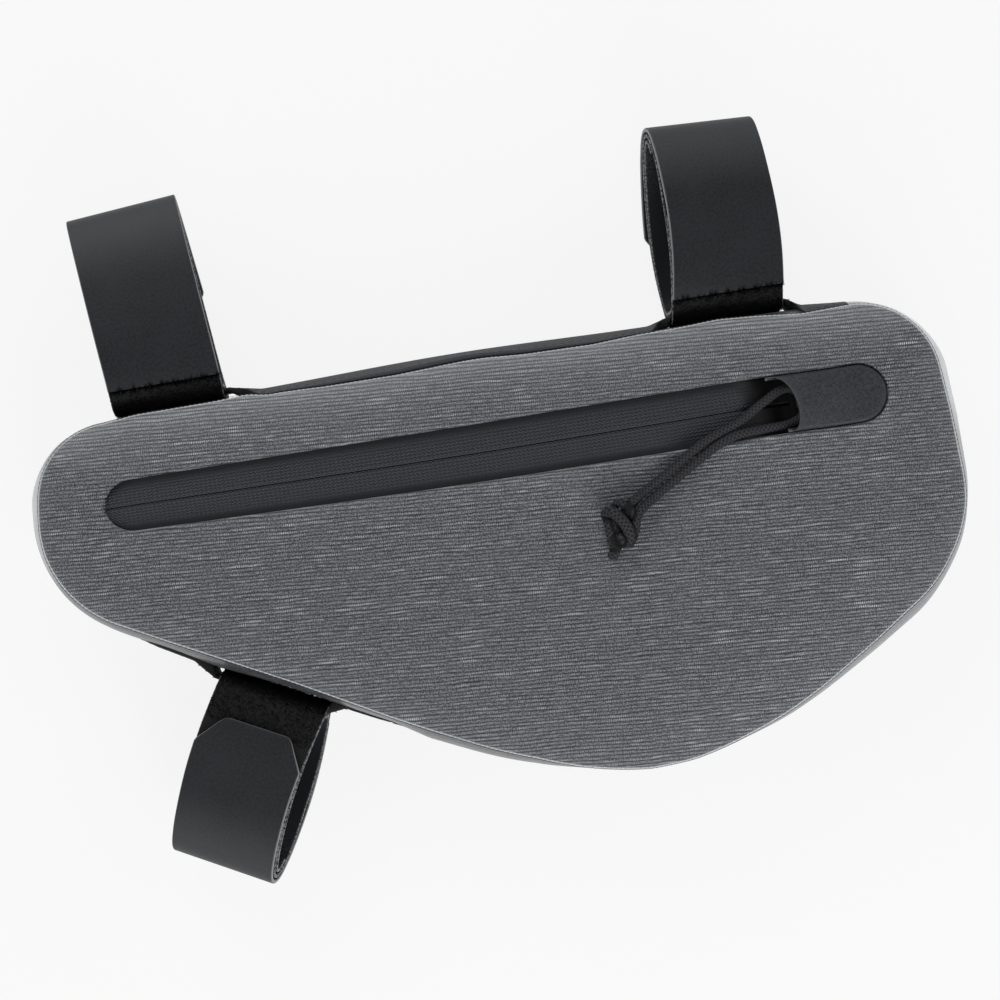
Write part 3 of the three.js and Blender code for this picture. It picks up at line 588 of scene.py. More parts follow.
def coated_zip(name, settings):
    """Zip tape with a laminated polyurethane face: charcoal, satin, with rows of small chevrons pressed
    into the coating over the teeth and a smooth margin beside them. Where the mark is below 0 the tape is
    painted black for the shade under the garage's mouth, and above 0 it is painted paler."""
    material, tree = new_material(name, Roughness=0.5, Specular_IOR_Level=0.3)
    place = add(tree, "UVMap", uv_map=UV)[0]
    plan = add(tree, "SeparateXYZ", {0: place})
    zigzag = add(tree, "Math", {0: plan[0], 1: settings.chevron_pitch}, operation="PINGPONG")[0]
    row = add(tree, "Math", {0: zigzag, 1: 0.75, 2: plan[1]}, operation="MULTIPLY_ADD")[0]
    angle = add(tree, "Math", {0: row, 1: 2 * np.pi / settings.chevron_rows}, operation="MULTIPLY")[0]
    # The chevrons fade out towards the margin and into the painted shade. The tooth line is at place 0.
    across = add(tree, "Math", {0: plan[1]}, operation="ABSOLUTE")[0]
    band = add(tree, "MapRange", {0: across, 1: 0.0085, 2: 0.0052})[0]
    mark = add(tree, "Attribute", attribute_name=EDGE)[2]
    unshaded = add(tree, "MapRange", {0: mark, 1: -1.0, 2: 0.0})[0]
    whole = add(tree, "Math", {0: band, 1: unshaded}, operation="MULTIPLY")[0]
    pressed = add(tree, "Math", {0: wave(tree, angle), 1: whole}, operation="MULTIPLY")[0]
    grain = add(tree, "TexNoise", {"Vector": place, "Scale": 1 / 0.0005, "Detail": 2.0})[0]
    speck = add(tree, "Math", {0: grain, 1: 0.45}, operation="MULTIPLY")[0]
    tone = add(tree, "Math", {0: pressed, 1: 0.7, 2: speck}, operation="MULTIPLY_ADD")[0]
    light = rgba(settings.tape_light)
    face = add(tree, "Mix", {0: tone, 6: rgba(settings.tape), 7: light}, data_type="RGBA")[2]
    # Painted shade: nearly black where the mark is below 0, under the garage's mouth.
    tape = add(tree, "Mix", {0: unshaded, 6: rgba(settings.tape, 0.15), 7: face}, data_type="RGBA")[2]
    paled = add(tree, "Mix", {0: mark, 6: tape, 7: light}, data_type="RGBA")[2]
    relief = add(tree, "Bump", {"Height": pressed, "Strength": 0.8, "Distance": 0.0004})[0]
    connect(tree, Base_Color=paled, Normal=relief)
    return material


def garage_film(name, settings):
    """Moulded film over the zip's end: smooth charcoal polyurethane with a soft satin gloss and a very
    fine grain, with a painted highlight along the lip."""
    material, tree = new_material(name, Specular_IOR_Level=0.35)
    place = add(tree, "TexCoord")[3]
    grain = add(tree, "TexNoise", {"Vector": place, "Scale": 1 / 0.0008, "Detail": 3.0})[0]
    cloud = add(tree, "TexNoise", {"Vector": place, "Scale": 1 / 0.012, "Detail": 1.0})[0]
    speck = add(tree, "MapRange", {0: grain, 1: 0.3, 2: 0.7})[0]
    tone = add(tree, "Math", {0: cloud, 1: 0.5, 2: speck}, operation="MULTIPLY_ADD")[0]
    dark, light, pale = (rgba(settings.garage, share) for share in (0.2, 1.3, 3.5))
    face = add(tree, "Mix", {0: tone, 6: dark, 7: light}, data_type="RGBA", clamp_factor=False)[2]
    lip = add(tree, "Attribute", attribute_name=EDGE)[2]
    paled = add(tree, "Mix", {0: lip, 6: face, 7: pale}, data_type="RGBA")[2]
    satin = add(tree, "MapRange", {0: cloud, 3: 0.5, 4: 0.62})[0]
    relief = add(tree, "Bump", {"Height": grain, "Strength": 0.25, "Distance": 0.0001})[0]
    connect(tree, Base_Color=paled, Roughness=satin, Normal=relief)
    return material


def slider_metal(name):
    """Cast zinc with a black electrophoretic paint: dark and satin, scuffed a little brighter in patches."""
    material, tree = new_material(name, Specular_IOR_Level=0.2)
    place = add(tree, "TexCoord")[3]
    rub = add(tree, "TexNoise", {"Vector": place, "Scale": 1 / 0.002, "Detail": 4.0})[0]
    wear_and_painted_sheen = add(tree, "MapRange", {0: rub, 1: 0.62, 2: 0.75})[0]
    paint, metal = rgba(linear("09090a")), rgba(linear("2e2e30"))
    colour = add(tree, "Mix", {0: wear_and_painted_sheen, 6: paint, 7: metal}, data_type="RGBA")[2]
    satin = add(tree, "MapRange", {0: rub, 3: 0.45, 4: 0.7})[0]
    connect(tree, Base_Color=colour, Metallic=wear_and_painted_sheen, Roughness=satin)
    return material


def braided_cord(name, settings):
    """Braided polyester cord: two crossing sets of strands make diamonds, dull black with lighter tops, and
    painted shade where cords touch.
    """
    material, tree = new_material(
        name, Roughness=0.7, Specular_IOR_Level=0.2, Sheen_Weight=0.05, Sheen_Roughness=0.4
    )
    place = add(tree, "UVMap", uv_map=UV)[0]
    raised = add(tree, "Attribute", attribute_name=EDGE)[2]
    size = (1 / 0.0012, 1 / 0.00025, 0)
    fibres = add(tree, "VectorMath", {0: place, 1: size}, operation="MULTIPLY")[0]
    fibre = add(tree, "TexNoise", {"Vector": fibres, "Scale": 1.0, "Detail": 2.0}, noise_dimensions="2D")[0]
    top = add(tree, "MapRange", {0: raised, 1: 0.35, 2: 1.0})[0]
    streak = add(tree, "MapRange", {0: fibre, 3: 0.3, 4: 1.2})[0]
    tone = add(tree, "Math", {0: top, 1: streak}, operation="MULTIPLY")[0]
    dark, light = rgba(settings.cord_dark), rgba(settings.cord)
    colour = add(tree, "Mix", {0: tone, 6: dark, 7: light}, data_type="RGBA")[2]
    relief = add(tree, "Bump", {"Height": fibre, "Strength": 0.4, "Distance": 0.0001})[0]
    connect(tree, Base_Color=colour, Normal=relief)
    return material


def hook_tape_nylon(name, settings):
    """Back of nylon hook tape: a close plain weave with a resin coat, so charcoal and satin with a fine
    grain, and paler where it was cut. The weave is drawn at 0.9 mm, coarser than it is, so that it
    shows."""
    material, tree = new_material(name, Specular_IOR_Level=0.25, Sheen_Weight=0.04, Sheen_Roughness=0.4)
    place = add(tree, "UVMap", uv_map=UV)[0]
    weave = {"Vector": place, "Scale": 1 / 0.0009, "Detail": 3.0}
    patches = {"Vector": place, "Scale": 1 / 0.012, "Detail": 1.0}
    grain, cloud = (add(tree, "TexNoise", size, noise_dimensions="2D")[0] for size in (weave, patches))
    speck = add(tree, "MapRange", {0: grain, 1: 0.3, 2: 0.7})[0]
    tone = add(tree, "Math", {0: cloud, 1: 0.5, 2: speck}, operation="MULTIPLY_ADD")[0]
    dark, light = rgba(settings.hook, 0.4), rgba(settings.hook, 1.3)
    woven = add(tree, "Mix", {0: tone, 6: dark, 7: light}, data_type="RGBA")[2]
    cut = add(tree, "Attribute", attribute_name=EDGE)[2]
    colour = add(tree, "Mix", {0: cut, 6: woven, 7: rgba(settings.tape_edge)}, data_type="RGBA")[2]
    satin = add(tree, "MapRange", {0: grain, 3: 0.48, 4: 0.64})[0]
    relief = add(tree, "Bump", {"Height": grain, "Strength": 0.4, "Distance": 0.0002})[0]
    connect(tree, Base_Color=colour, Roughness=satin, Normal=relief)
    return material


def loop_tape_nylon(name, settings):
    """Woven ground of nylon loop tape: black under the pile, and on its smooth back a dull dark grey with
    a fine grain, paler along the cut edges. The back has its texture places above 65 mm. The weave is
    drawn at 0.9 mm, coarser than it is, so that it shows."""
    material, tree = new_material(name, Roughness=0.6, Specular_IOR_Level=0.25)
    place = add(tree, "UVMap", uv_map=UV)[0]
    plan = add(tree, "SeparateXYZ", {0: place})
    back = add(tree, "MapRange", {0: plan[1], 1: 0.064, 2: 0.066})[0]
    weave = {"Vector": place, "Scale": 1 / 0.0009, "Detail": 3.0}
    grain = add(tree, "TexNoise", weave, noise_dimensions="2D")[0]
    dark, light = rgba(settings.hook), rgba(settings.hook, 1.4)
    woven = add(tree, "Mix", {0: grain, 6: dark, 7: light}, data_type="RGBA")[2]
    ground = add(tree, "Mix", {0: back, 6: rgba(settings.pile), 7: woven}, data_type="RGBA")[2]
    cut = add(tree, "Attribute", attribute_name=EDGE)[2]
    threads = add(tree, "MapRange", {0: grain, 1: 0.4, 2: 0.6})[0]
    fray = add(tree, "Math", {0: cut, 1: threads}, operation="MULTIPLY")[0]
    colour = add(tree, "Mix", {0: fray, 6: ground, 7: rgba(settings.tape_edge)}, data_type="RGBA")[2]
    connect(tree, Base_Color=colour)
    return material


def loop_pile_nylon(name, settings):
    """Brushed nylon loop tape: a black fuzz of fine loops that swallows light, with single fibres that
    catch it."""
    material, tree = new_material(name, Roughness=0.95, Specular_IOR_Level=0.05)
    fibre = add(tree, "Attribute", attribute_name=EDGE)[2]
    place = add(tree, "TexCoord")[3]
    fuzz = add(tree, "TexNoise", {"Vector": place, "Scale": 1 / 0.0012, "Detail": 4.0})[0]
    tone = add(tree, "Math", {0: fibre, 1: fuzz}, operation="MULTIPLY")[0]
    dark, light = rgba(settings.pile), rgba(settings.pile_light)
    colour = add(tree, "Mix", {0: tone, 6: dark, 7: light}, data_type="RGBA")[2]
    relief = add(tree, "Bump", {"Height": fuzz, "Strength": 0.8, "Distance": 0.0006})[0]
    connect(tree, Base_Color=colour, Normal=relief)
    return material


def strip_webbing(name, settings):
    """Woven polyester webbing: flat grey tape with fine ribs across it, every 1.1 mm, and a dull face,
    painted black where the mark is set: painted shade where the top strip lifts over a strap."""
    material, tree = new_material(name, Roughness=0.75, Specular_IOR_Level=0.3)
    place = add(tree, "UVMap", uv_map=UV)[0]
    plan = add(tree, "SeparateXYZ", {0: place})
    angle = add(tree, "Math", {0: plan[0], 1: 2 * np.pi / 0.0011}, operation="MULTIPLY")[0]
    rib = wave(tree, angle)
    weave = {"Vector": place, "Scale": 1 / 0.0006, "Detail": 2.0}
    grain = add(tree, "TexNoise", weave, noise_dimensions="2D")[0]
    speck = add(tree, "Math", {0: grain, 1: 0.5}, operation="MULTIPLY")[0]
    tone = add(tree, "Math", {0: rib, 1: 0.4, 2: speck}, operation="MULTIPLY_ADD")[0]
    dark, light = rgba(settings.strip), rgba(settings.strip, 1.7)
    woven = add(tree, "Mix", {0: tone, 6: dark, 7: light}, data_type="RGBA")[2]
    darkened = add(tree, "Attribute", attribute_name=EDGE)[2]
    colour = add(tree, "Mix", {0: darkened, 6: woven, 7: rgba(settings.strip_dark)}, data_type="RGBA")[2]
    relief = add(tree, "Bump", {"Height": rib, "Strength": 0.5, "Distance": 0.0002})[0]
    connect(tree, Base_Color=colour, Normal=relief)
    return material


def sewing_thread(name, colour):
    """Twisted polyester thread: a dull yarn whose fine twist shows as light and dark, every 0.5 mm."""
    material, tree = new_material(name, Roughness=0.6, Specular_IOR_Level=0.35)
    place = add(tree, "TexCoord")[3]
    twist = add(tree, "TexNoise", {"Vector": place, "Scale": 1 / 0.0005, "Detail": 1.0})[0]
    twisted = add(tree, "Mix", {0: twist, 6: rgba(colour, 0.45), 7: rgba(colour)}, data_type="RGBA")[2]
    connect(tree, Base_Color=twisted)
    return material


def floor_acrylic(name, stage):
    """White acrylic sheet, cast and lit from below: an even pale glow with a trace of clouding."""
    material, tree = new_material(
        name, Roughness=0.6, Specular_IOR_Level=0.2, Emission_Color=(1, 1, 1, 1),
        Emission_Strength=stage.floor_glow,
    )
    place = add(tree, "TexCoord")[3]
    cloud = add(tree, "TexNoise", {"Vector": place, "Scale": 2.0, "Detail": 1.0})[0]
    dark, light = rgba(stage.floor, 0.985), rgba(stage.floor)
    colour = add(tree, "Mix", {0: cloud, 6: dark, 7: light}, data_type="RGBA")[2]
    connect(tree, Base_Color=colour)
    return material


def finish_of(settings):
    """Gives a material of the bag by its name, made the first time that it is asked for."""
    # The wall's copy keeps 0.6 of the fabric's colours: a darker copy that is painted shade, under a glossy
    # coat.
    film = {"depth": 0.6, "Coat_Weight": 0.45, "Coat_Roughness": 0.2}
    makers = {
        "Heather rib-weave polyester": lambda name: heather_fabric(name, settings.fabric),
        "Film-faced heather polyester": lambda name: heather_fabric(name, settings.fabric, **film),
        "Laminated polyurethane zip tape": lambda name: coated_zip(name, settings.zip),
        "Moulded polyurethane film": lambda name: garage_film(name, settings.zip),
        "Black painted zinc": slider_metal,
        "Braided polyester cord": lambda name: braided_cord(name, settings.cord),
        "Nylon hook tape": lambda name: hook_tape_nylon(name, settings.straps),
        "Woven nylon loop tape": lambda name: loop_tape_nylon(name, settings.straps),
        "Brushed nylon loop pile": lambda name: loop_pile_nylon(name, settings.straps),
        "Woven polyester webbing": lambda name: strip_webbing(name, settings.straps),
        "Grey polyester thread": lambda name: sewing_thread(name, settings.fabric.thread),
        "Black polyester thread": lambda name: sewing_thread(name, linear("26262a")),
    }
    return lambda name: bpy.data.materials.get(name) or makers[name](name)


def rib_places(xy, turn):
    """Texture places on the front and back panels: the plan turned so that ribs run along the first."""
    c, s = np.cos(turn), np.sin(turn)
    return np.stack([xy[..., 0] * c + xy[..., 1] * s + 500, xy[..., 1] * c - xy[..., 0] * s + 500], -1)


def settle(points, faces, sewn):
    """Lets a cloth settle under air pressure from inside, held where it is sewn down, with a share of
    slack cloth. Returns how far each point moved, in millimetres."""
    mesh = bpy.data.meshes.new("settling")
    mesh.from_pydata((points * MM).tolist(), [], faces.tolist())
    work = bpy.data.objects.new("settling", mesh)
    scene = bpy.context.scene
    scene.collection.objects.link(work)
    held = work.vertex_groups.new(name="sewn")
    held.add(np.flatnonzero(sewn).tolist(), 1.0, "REPLACE")
    cloth = work.modifiers.new("cloth", "CLOTH")
    for name, value in SETTLING.items():
        setattr(cloth.settings, name, value)
    cloth.settings.vertex_group_mass = held.name
    cloth.settings.effector_weights.gravity = 0
    cloth.collision_settings.use_collision = False
    for step in range(1, SETTLING_STEPS + 1):
        scene.frame_set(step)
    settled = work.evaluated_get(bpy.context.evaluated_depsgraph_get()).data
    place = np.empty(3 * len(points))
    settled.vertices.foreach_get("co", place)
    bpy.data.objects.remove(work)
    bpy.data.meshes.remove(mesh)
    scene.frame_set(1)
    return place.reshape(-1, 3) / MM - points


def panel_swell(xy, base):
    """Swell of the front panel: the settled heights on every second line, smoothed, held within a little
    up and more down, and spread back over all lines."""
    coarse = xy[::2, ::2]
    rows, cols = coarse.shape[:2]
    r, c = np.meshgrid(np.arange(rows - 1), np.arange(cols), indexing="ij")
    n = (c + 1) % cols
    faces = [r * cols + c, r * cols + n, (r + 1) * cols + n, (r + 1) * cols + c]
    sewn = np.zeros((rows, cols), bool)
    sewn[[0, 1, -2, -1]] = True
    start = lift(coarse, base[::2, ::2])
    moved = settle(start.reshape(-1, 3), np.stack(faces, -1).reshape(-1, 4), sewn.ravel())
    rise = moved[:, 2].reshape(rows, cols)
    for _ in range(3):
        rise = (rise + np.roll(rise, 1, 1) + np.roll(rise, -1, 1)) / 3
    limit = np.where(rise > 0, SWELL_UP, SWELL_DOWN)
    rise = limit * np.tanh(rise / limit)
    ring = np.concatenate([rise, rise[:, :1]], 1)
    rows_at, cols_at = (np.arange(count) / 2 for count in xy.shape[:2])
    wide = np.stack([np.interp(cols_at, np.arange(cols + 1), line) for line in ring])
    return np.stack([np.interp(rows_at, np.arange(rows), line) for line in wide.T], 1)


def make_front_panel(finish, rib_turn):
    """Front panel: straight lines run from the zip window, a slot with round ends, out to the seam's lip,
    and the height over them is the crown, rounded down at the lip and rolled down at the window. A cloth
    settled under pressure between window and seam adds its swell. The underside closes it one wall
    below."""
    rim = lip_ring(PANEL_INSET)
    half = ZIP_WIDTH / 2
    spine = np.stack([np.clip(rim[:, 0], ZIP_X0 + half, ZIP_X1 - half), np.full(len(rim), ZIP_Y)], 1)
    ray = rim - spine
    length = np.linalg.norm(ray, axis=1)
    ray = ray / length[:, None]
    reach = length - half
    share = np.linspace(0, 1, LINES_BETWEEN + 2)[1:-1, None]
    middle = NEAR_WINDOW[-1] + (reach - NEAR_WINDOW[-1] - NEAR_LIP[0]) * share
    out = np.concatenate([NEAR_WINDOW + 0 * reach, middle, reach - NEAR_LIP])
    xy = bend_zip(spine + ray * (half + out)[..., None])
    base = front_height(xy)
    swell = panel_swell(xy, base)
    edge = ring_distance(rim, xy)
    edge[-1] = 0
    roll = ROLL * np.exp(-(((out - ROLL_AT) / ROLL_WIDE) ** 2))
    top = base + swell + roll - round_off(out, WINDOW_ROUND) - round_off(edge, LIP_ROUND)
    under = base[UNDER_LINES] - WALL
    points = np.concatenate([lift(xy, top), lift(xy[UNDER_LINES], under)])

    def pale(away, most, fade):
        """Painted highlight at a distance from an edge: its most, fading exponentially."""
        return most * np.exp(-away / fade)

    # Painted highlights: paler along the lower edge of the window, round the lip and most along the top
    # edge, where the light falls.
    window = pale(out, *WINDOW_HIGHLIGHT) * (xy[..., 1] < ZIP_Y)
    lip = pale(edge, *LIP_HIGHLIGHT) + smoothstep(WIDEST_NORMAL[:, 1], 0.5, 0.95) * pale(edge, *TOP_HIGHLIGHT)
    mark = np.concatenate([window + lip, np.zeros_like(under)])
    places = rib_places(np.concatenate([xy, xy[UNDER_LINES], xy[:1]]), rib_turn)
    places = np.concatenate([places, places[:, :1]], 1)
    panel = Cloth()
    panel.grid(points, places, np.clip(mark, 0, 1), wrap=(True, True))
    fabric = finish("Heather rib-weave polyester")
    made = panel.piece("front_panel_fabric", fabric, ["front_panel"])


def wall_seam(z):
    """Share of the bulge lost by the wall at a height: a power of the distance from the widest line."""
    low = BACK_SEAM * np.clip((MID_DEPTH - z) / (MID_DEPTH - BACK_Z), 0, None) ** BACK_CURVE
    high = np.clip((z - MID_DEPTH) / (FRONT_Z - MID_DEPTH), 0, None) ** FRONT_CURVE
    return low + high


def wall_ease(z, wall, lip):
    """Ease at a height of the wall: that of the widest line, passing over to the seam's towards the
    front, and to none towards the back, in step with the bulge."""
    lost = wall_seam(z)
    return np.where(z > MID_DEPTH, wall + (lip - wall) * lost, wall * (1 - lost / BACK_SEAM))


def wall_ring(z, inset):
    """The wall's outline at a height, moved in by inset."""
    return bag_outline(wall_seam(z), inset) + wall_ease(z, WALL_EASE, LIP_EASE)[:, None] * WIDEST_NORMAL


def top_swell(d):
    """How far the top wall stands out at a place along its side: a smooth hump between the straps."""
    share = np.clip((d - TOP_SWELL_FROM) / (TOP_SWELL_TO - TOP_SWELL_FROM), 0, 1)
    return TOP_SWELL * np.sin(np.pi * share) ** 2


def wall_height(z):
    """Half a sine over the height of the wall, 0 at both seams."""
    return np.sin(np.pi * np.clip((z - BACK_Z) / (FRONT_Z - BACK_Z), 0, 1))


def make_wall(finish):
    """Wall of the bag: the outline carried up from the back seam to the front seam, standing out by its
    bulge in the middle, with shallow dents between the places where it is sewn, and the same again one
    wall further in."""
    z = BACK_Z + (FRONT_Z - BACK_Z) * (0.5 - 0.5 * np.cos(np.linspace(0, np.pi, WALL_LINES)))
    outer = np.stack([lift(wall_ring(h, 0), h) for h in z])
    inner = np.stack([lift(wall_ring(h, WALL), h) for h in z[::-3]])
    around = lengths(np.vstack([WIDEST, WIDEST[:1]]))
    turn = 2 * np.pi * WIDEST_SHARE
    dent = sum(depth * np.sin(count * turn + phase) for depth, count, phase in DENTS)
    dent = dent * (0.7 + 0.3 * np.sin(z[:, None] / 8 + 5 * turn))
    start, along, _, _ = side(TOP_SIDE)
    top = WIDEST_NORMAL[:, 1] > 0.9
    swell = np.where(top, top_swell((WIDEST - start) @ along), dent)
    outer[..., :2] += (wall_height(z)[:, None] * swell)[..., None] * WIDEST_NORMAL
    up = lengths(outer[:, 0])
    upright = np.concatenate([up, up[-1] + 2 + lengths(inner[:, 0]), [2 * up[-1] + 6]])
    places = np.stack(np.meshgrid(around, upright + 20, indexing="xy"), -1)
    # Painted sheen: the wall is painted paler round its two ends, where light glances off it.
    paled = np.interp(WIDEST_SHARE, *PAINTED_WALL_SHEEN.T, period=1)
    face = np.concatenate([smoothstep(z, PAINTED_SHEEN_FROM, PAINTED_SHEEN_TO), np.zeros(len(inner))])
    wall = Cloth()
    wall.grid(np.concatenate([outer, inner]), places, face[:, None] * paled, wrap=(True, True))
    made = wall.piece("wall_fabric", finish("Film-faced heather polyester"), ["gusset"])


def make_back_panel(finish, rib_turn):
    """Back panel: outlines drawn in step by step, flat underneath where it lies, rounded up at the edge
    and closed by a flat face above and below."""
    depth = WALL / 2
    last = len(BACK_INSETS) - 1
    rise = np.sign(np.arange(last + 1) - last // 2) * (depth - round_off(BACK_INSETS, depth))
    xy = np.stack([bag_outline(BACK_SEAM, inset) for inset in BACK_INSETS])
    places = rib_places(xy, rib_turn)
    ring = np.arange(xy.shape[1])
    panel = Cloth()
    points = lift(xy, depth + rise[:, None])
    panel.grid(points, np.concatenate([places, places[:, :1]], 1), wrap=(False, True))
    panel.disc(ring, places[0])
    panel.disc(last * len(ring) + ring, places[-1])
    fabric = finish("Heather rib-weave polyester")
    made = panel.piece("back_panel_fabric", fabric, ["back_panel"])


def even_ring(line, pitch):
    """A closed line at even steps of nearly the pitch: its points, directions and normals in the plan."""
    around = lengths(np.vstack([line, line[:1]]))
    steps = int(around[-1] / pitch)
    at = np.arange(steps) * around[-1] / steps
    path = np.stack([np.interp(at, around, np.append(line[:, k], line[0, k])) for k in range(3)], 1)
    ahead = unit(np.roll(path, -1, 0) - np.roll(path, 1, 0))
    return path, ahead, np.stack([ahead[:, 1], -ahead[:, 0], 0 * at], 1)


def make_seam(name, finish, ring, z, radius):
    """Seam thread: a small round section carried round the bag, swelling between its stitches."""
    path, _, outward = even_ring(lift(ring, z), SEAM_STEP)
    at = lengths(path)
    angle = np.linspace(0, 2 * np.pi, 9)[:-1]
    swell = radius * (1 + 0.4 * np.cos(2 * np.pi * at / SEAM_TWIST))
    offset = outward[:, None] * np.cos(angle)[:, None] + np.array([0, 0, 1]) * np.sin(angle)[:, None]
    points = path[:, None] + offset * swell[:, None, None]
    places = np.stack(np.meshgrid(np.linspace(0, 3, 9), np.append(at, at[-1] + SEAM_STEP)), -1)[..., ::-1]
    seam = Cloth()
    seam.grid(points, places, wrap=(True, True))
    seam.piece(name, finish("Grey polyester thread"))


def make_seam_stitches(name, finish, ring, z):
    """A row of dark stitches round the bag, on the wall just outside the seam."""
    path, ahead, outward = even_ring(lift(ring, z), SEAM_STITCH)
    thread = Cloth()
    add_stitches(thread, path, ahead, unit(outward + (0, 0, 1)), SEAM_STITCH_HALF, SEAM_STITCH_RADIUS)
    thread.piece(name, finish("Black polyester thread"))


def zip_dip(x):
    """How far the tape has dipped under the garage at a place along the zip."""
    return ZIP_DIP * smoothstep(x, ZIP_DIP_FROM, ZIP_DIP_TO)


def make_zip_half(name, finish, sign):
    """Half of the zip: a tape from the tooth line to its flange under the panel. Across it the face rises
    from the groove at the tooth line to a raised band over the teeth and steps down to a flat margin."""
    x = np.linspace(ZIP_X0 - ZIP_FLANGE, ZIP_END, ZIP_STEPS)
    across = ZIP_ACROSS
    xy = bend_zip(np.stack(np.meshgrid(x, ZIP_Y + sign * across, indexing="ij"), -1))
    ends = front_height(xy[:, [0, -1]])
    share = (across - across[0]) / (across[-1] - across[0])
    flat = ends[:, :1] + (ends[:, 1:] - ends[:, :1]) * share - WALL - GAP - ZIP_CLEAR - zip_dip(x)[:, None]
    groove = TOOTH_GROOVE * (1 - smoothstep(across, 0.1, 0.6))
    band = TOOTH_BAND * (1 - smoothstep(across, 4.5, 7.5)) - groove
    points = np.concatenate([lift(xy, flat + band), lift(xy, flat - ZIP_TAPE)[:, ::-1]], 1)
    wide = np.concatenate([across, across[::-1], across[:1]])
    places = np.stack(np.meshgrid(x + 200, sign * wide, indexing="ij"), -1)
    # Painted shade under the garage's mouth is marked below 0; the upper half is painted paler along its
    # tooth line.
    painted_shade = smoothstep(x, ZIP_SHADE_FROM, ZIP_SHADE_TO)[:, None]
    paled = 0.6 * np.exp(-(((wide[:-1] - 0.4) / 0.22) ** 2)) * (sign > 0)
    tape = Cloth()
    tape.grid(points, places, paled * (1 - painted_shade) - painted_shade, wrap=(False, True), caps=True)
    tape.piece(name + "_face", finish("Laminated polyurethane zip tape"), [name], sharp=60)


def make_garage(finish):
    """Zip garage: straight lines run from its hollow mouth, a power of a sine, to its round end. The face
    stands a little proud of the panel inside a rounded rim, and arches up towards the mouth. The lip of
    the mouth turns in."""
    r = ZIP_WIDTH / 2 - GARAGE_CLEAR
    t = 0.5 - 0.5 * np.cos(np.linspace(0, np.pi, 41))
    hollow = GARAGE_MOUTH_X - (GARAGE_TOP_X + GARAGE_LOW_X) / 2
    mouth_x = GARAGE_TOP_X + (GARAGE_LOW_X - GARAGE_TOP_X) * t + hollow * np.sin(np.pi * t) ** 0.7
    mouth_y = ZIP_Y + r * np.cos(np.pi * t)
    angle = np.pi * (0.5 - t)
    end_x = ZIP_X1 - ZIP_WIDTH / 2 + r * np.cos(angle)
    end_y = ZIP_Y + r * np.sin(angle)
    near, far = (0, 0.01, 0.025, 0.05), (0.965, 0.98, 0.99, 1)
    b = np.concatenate([near, np.linspace(0.08, 0.95, 30), far])[:, None]
    straight = np.stack([mouth_x + (end_x - mouth_x) * b, mouth_y + (end_y - mouth_y) * b], -1)
    xy = bend_zip(straight)
    sides = [(GARAGE_LOW_X - 30, ZIP_Y - r), (GARAGE_TOP_X - 30, ZIP_Y + r)]
    border = np.vstack([np.stack([end_x, end_y], 1), sides])
    edge = np.minimum(ring_distance(border, straight), r)
    arch = GARAGE_ARCH * (1 - smoothstep(b, 0, 0.75)) * np.sin(np.pi * t) ** 1.5
    lip = GARAGE_LIP * np.exp(-b / 0.012) * np.sin(np.pi * t)
    z = front_height(xy) + GARAGE_PROUD + arch - lip - round_off(edge, GARAGE_ROUND)
    # Painted highlight along the lip of the mouth.
    paled = 0.7 * np.exp(-b / 0.02) * np.ones_like(t)
    cap = Cloth()
    cap.grid(lift(xy, z)[::-1], rib_places(xy, 0)[::-1], paled[::-1])
    film = finish("Moulded polyurethane film")
    made = cap.piece("garage_cap", film, ["zip_garage"], outward=False)
    if made.data.polygons[len(made.data.polygons) // 2].normal.z < 0:
        made.data.flip_normals()
    wall = made.modifiers.new("film", "SOLIDIFY")
    wall.thickness = GARAGE_FILM * MM
    wall.offset = -1


def crevice(points, others):
    """0 where a point touches one of the other cords, each given as its path and half width, and 1 a
    millimetre away: the least distance from their paths less the half width."""
    gaps = [
        np.linalg.norm(points[..., None, :] - path[::3], axis=-1).min(-1) - half for path, half in others
    ]
    return smoothstep(np.min(gaps, axis=0), -0.2, 1.0)


def add_cord(cloth, path, upward, radius, pitch, squash=1.0, others=()):
    """A braided cord along a path: rings square to the path, whose radius follows the higher of two
    crossing sets of waves, five to the round. Both ends are drawn in and closed. It is marked for
    painted shade where it touches other cords."""
    at = lengths(path)
    ahead = unit(np.gradient(path, axis=0))
    sideways = unit(np.cross(ahead, upward))
    raised = np.cross(sideways, ahead)
    angle = np.linspace(0, 2 * np.pi, CORD_SIDES + 1)[:-1]
    travel = 2 * np.pi * at[:, None] / pitch
    high = np.maximum(*(np.cos(BRAID_STRANDS * angle + way * travel) for way in (1, -1)))
    drawn_in = round_off(np.minimum(at, at[-1] - at), 0.5)[:, None]
    size = radius * (1 - BRAID_RELIEF + BRAID_RELIEF * high) - drawn_in
    points = path[:, None] + size[..., None] * (
        sideways[:, None] * np.cos(angle)[:, None] + raised[:, None] * np.sin(angle)[:, None] * squash
    )
    around = np.linspace(0, 2 * np.pi * radius, CORD_SIDES + 1)
    places = np.stack(np.meshgrid(at, around, indexing="ij"), -1)
    # Painted shade where the cord touches other cords.
    lit = crevice(points, others) if others else 1.0
    cloth.grid(points, places, (0.5 + 0.5 * high) * lit, wrap=(False, True), caps=True)


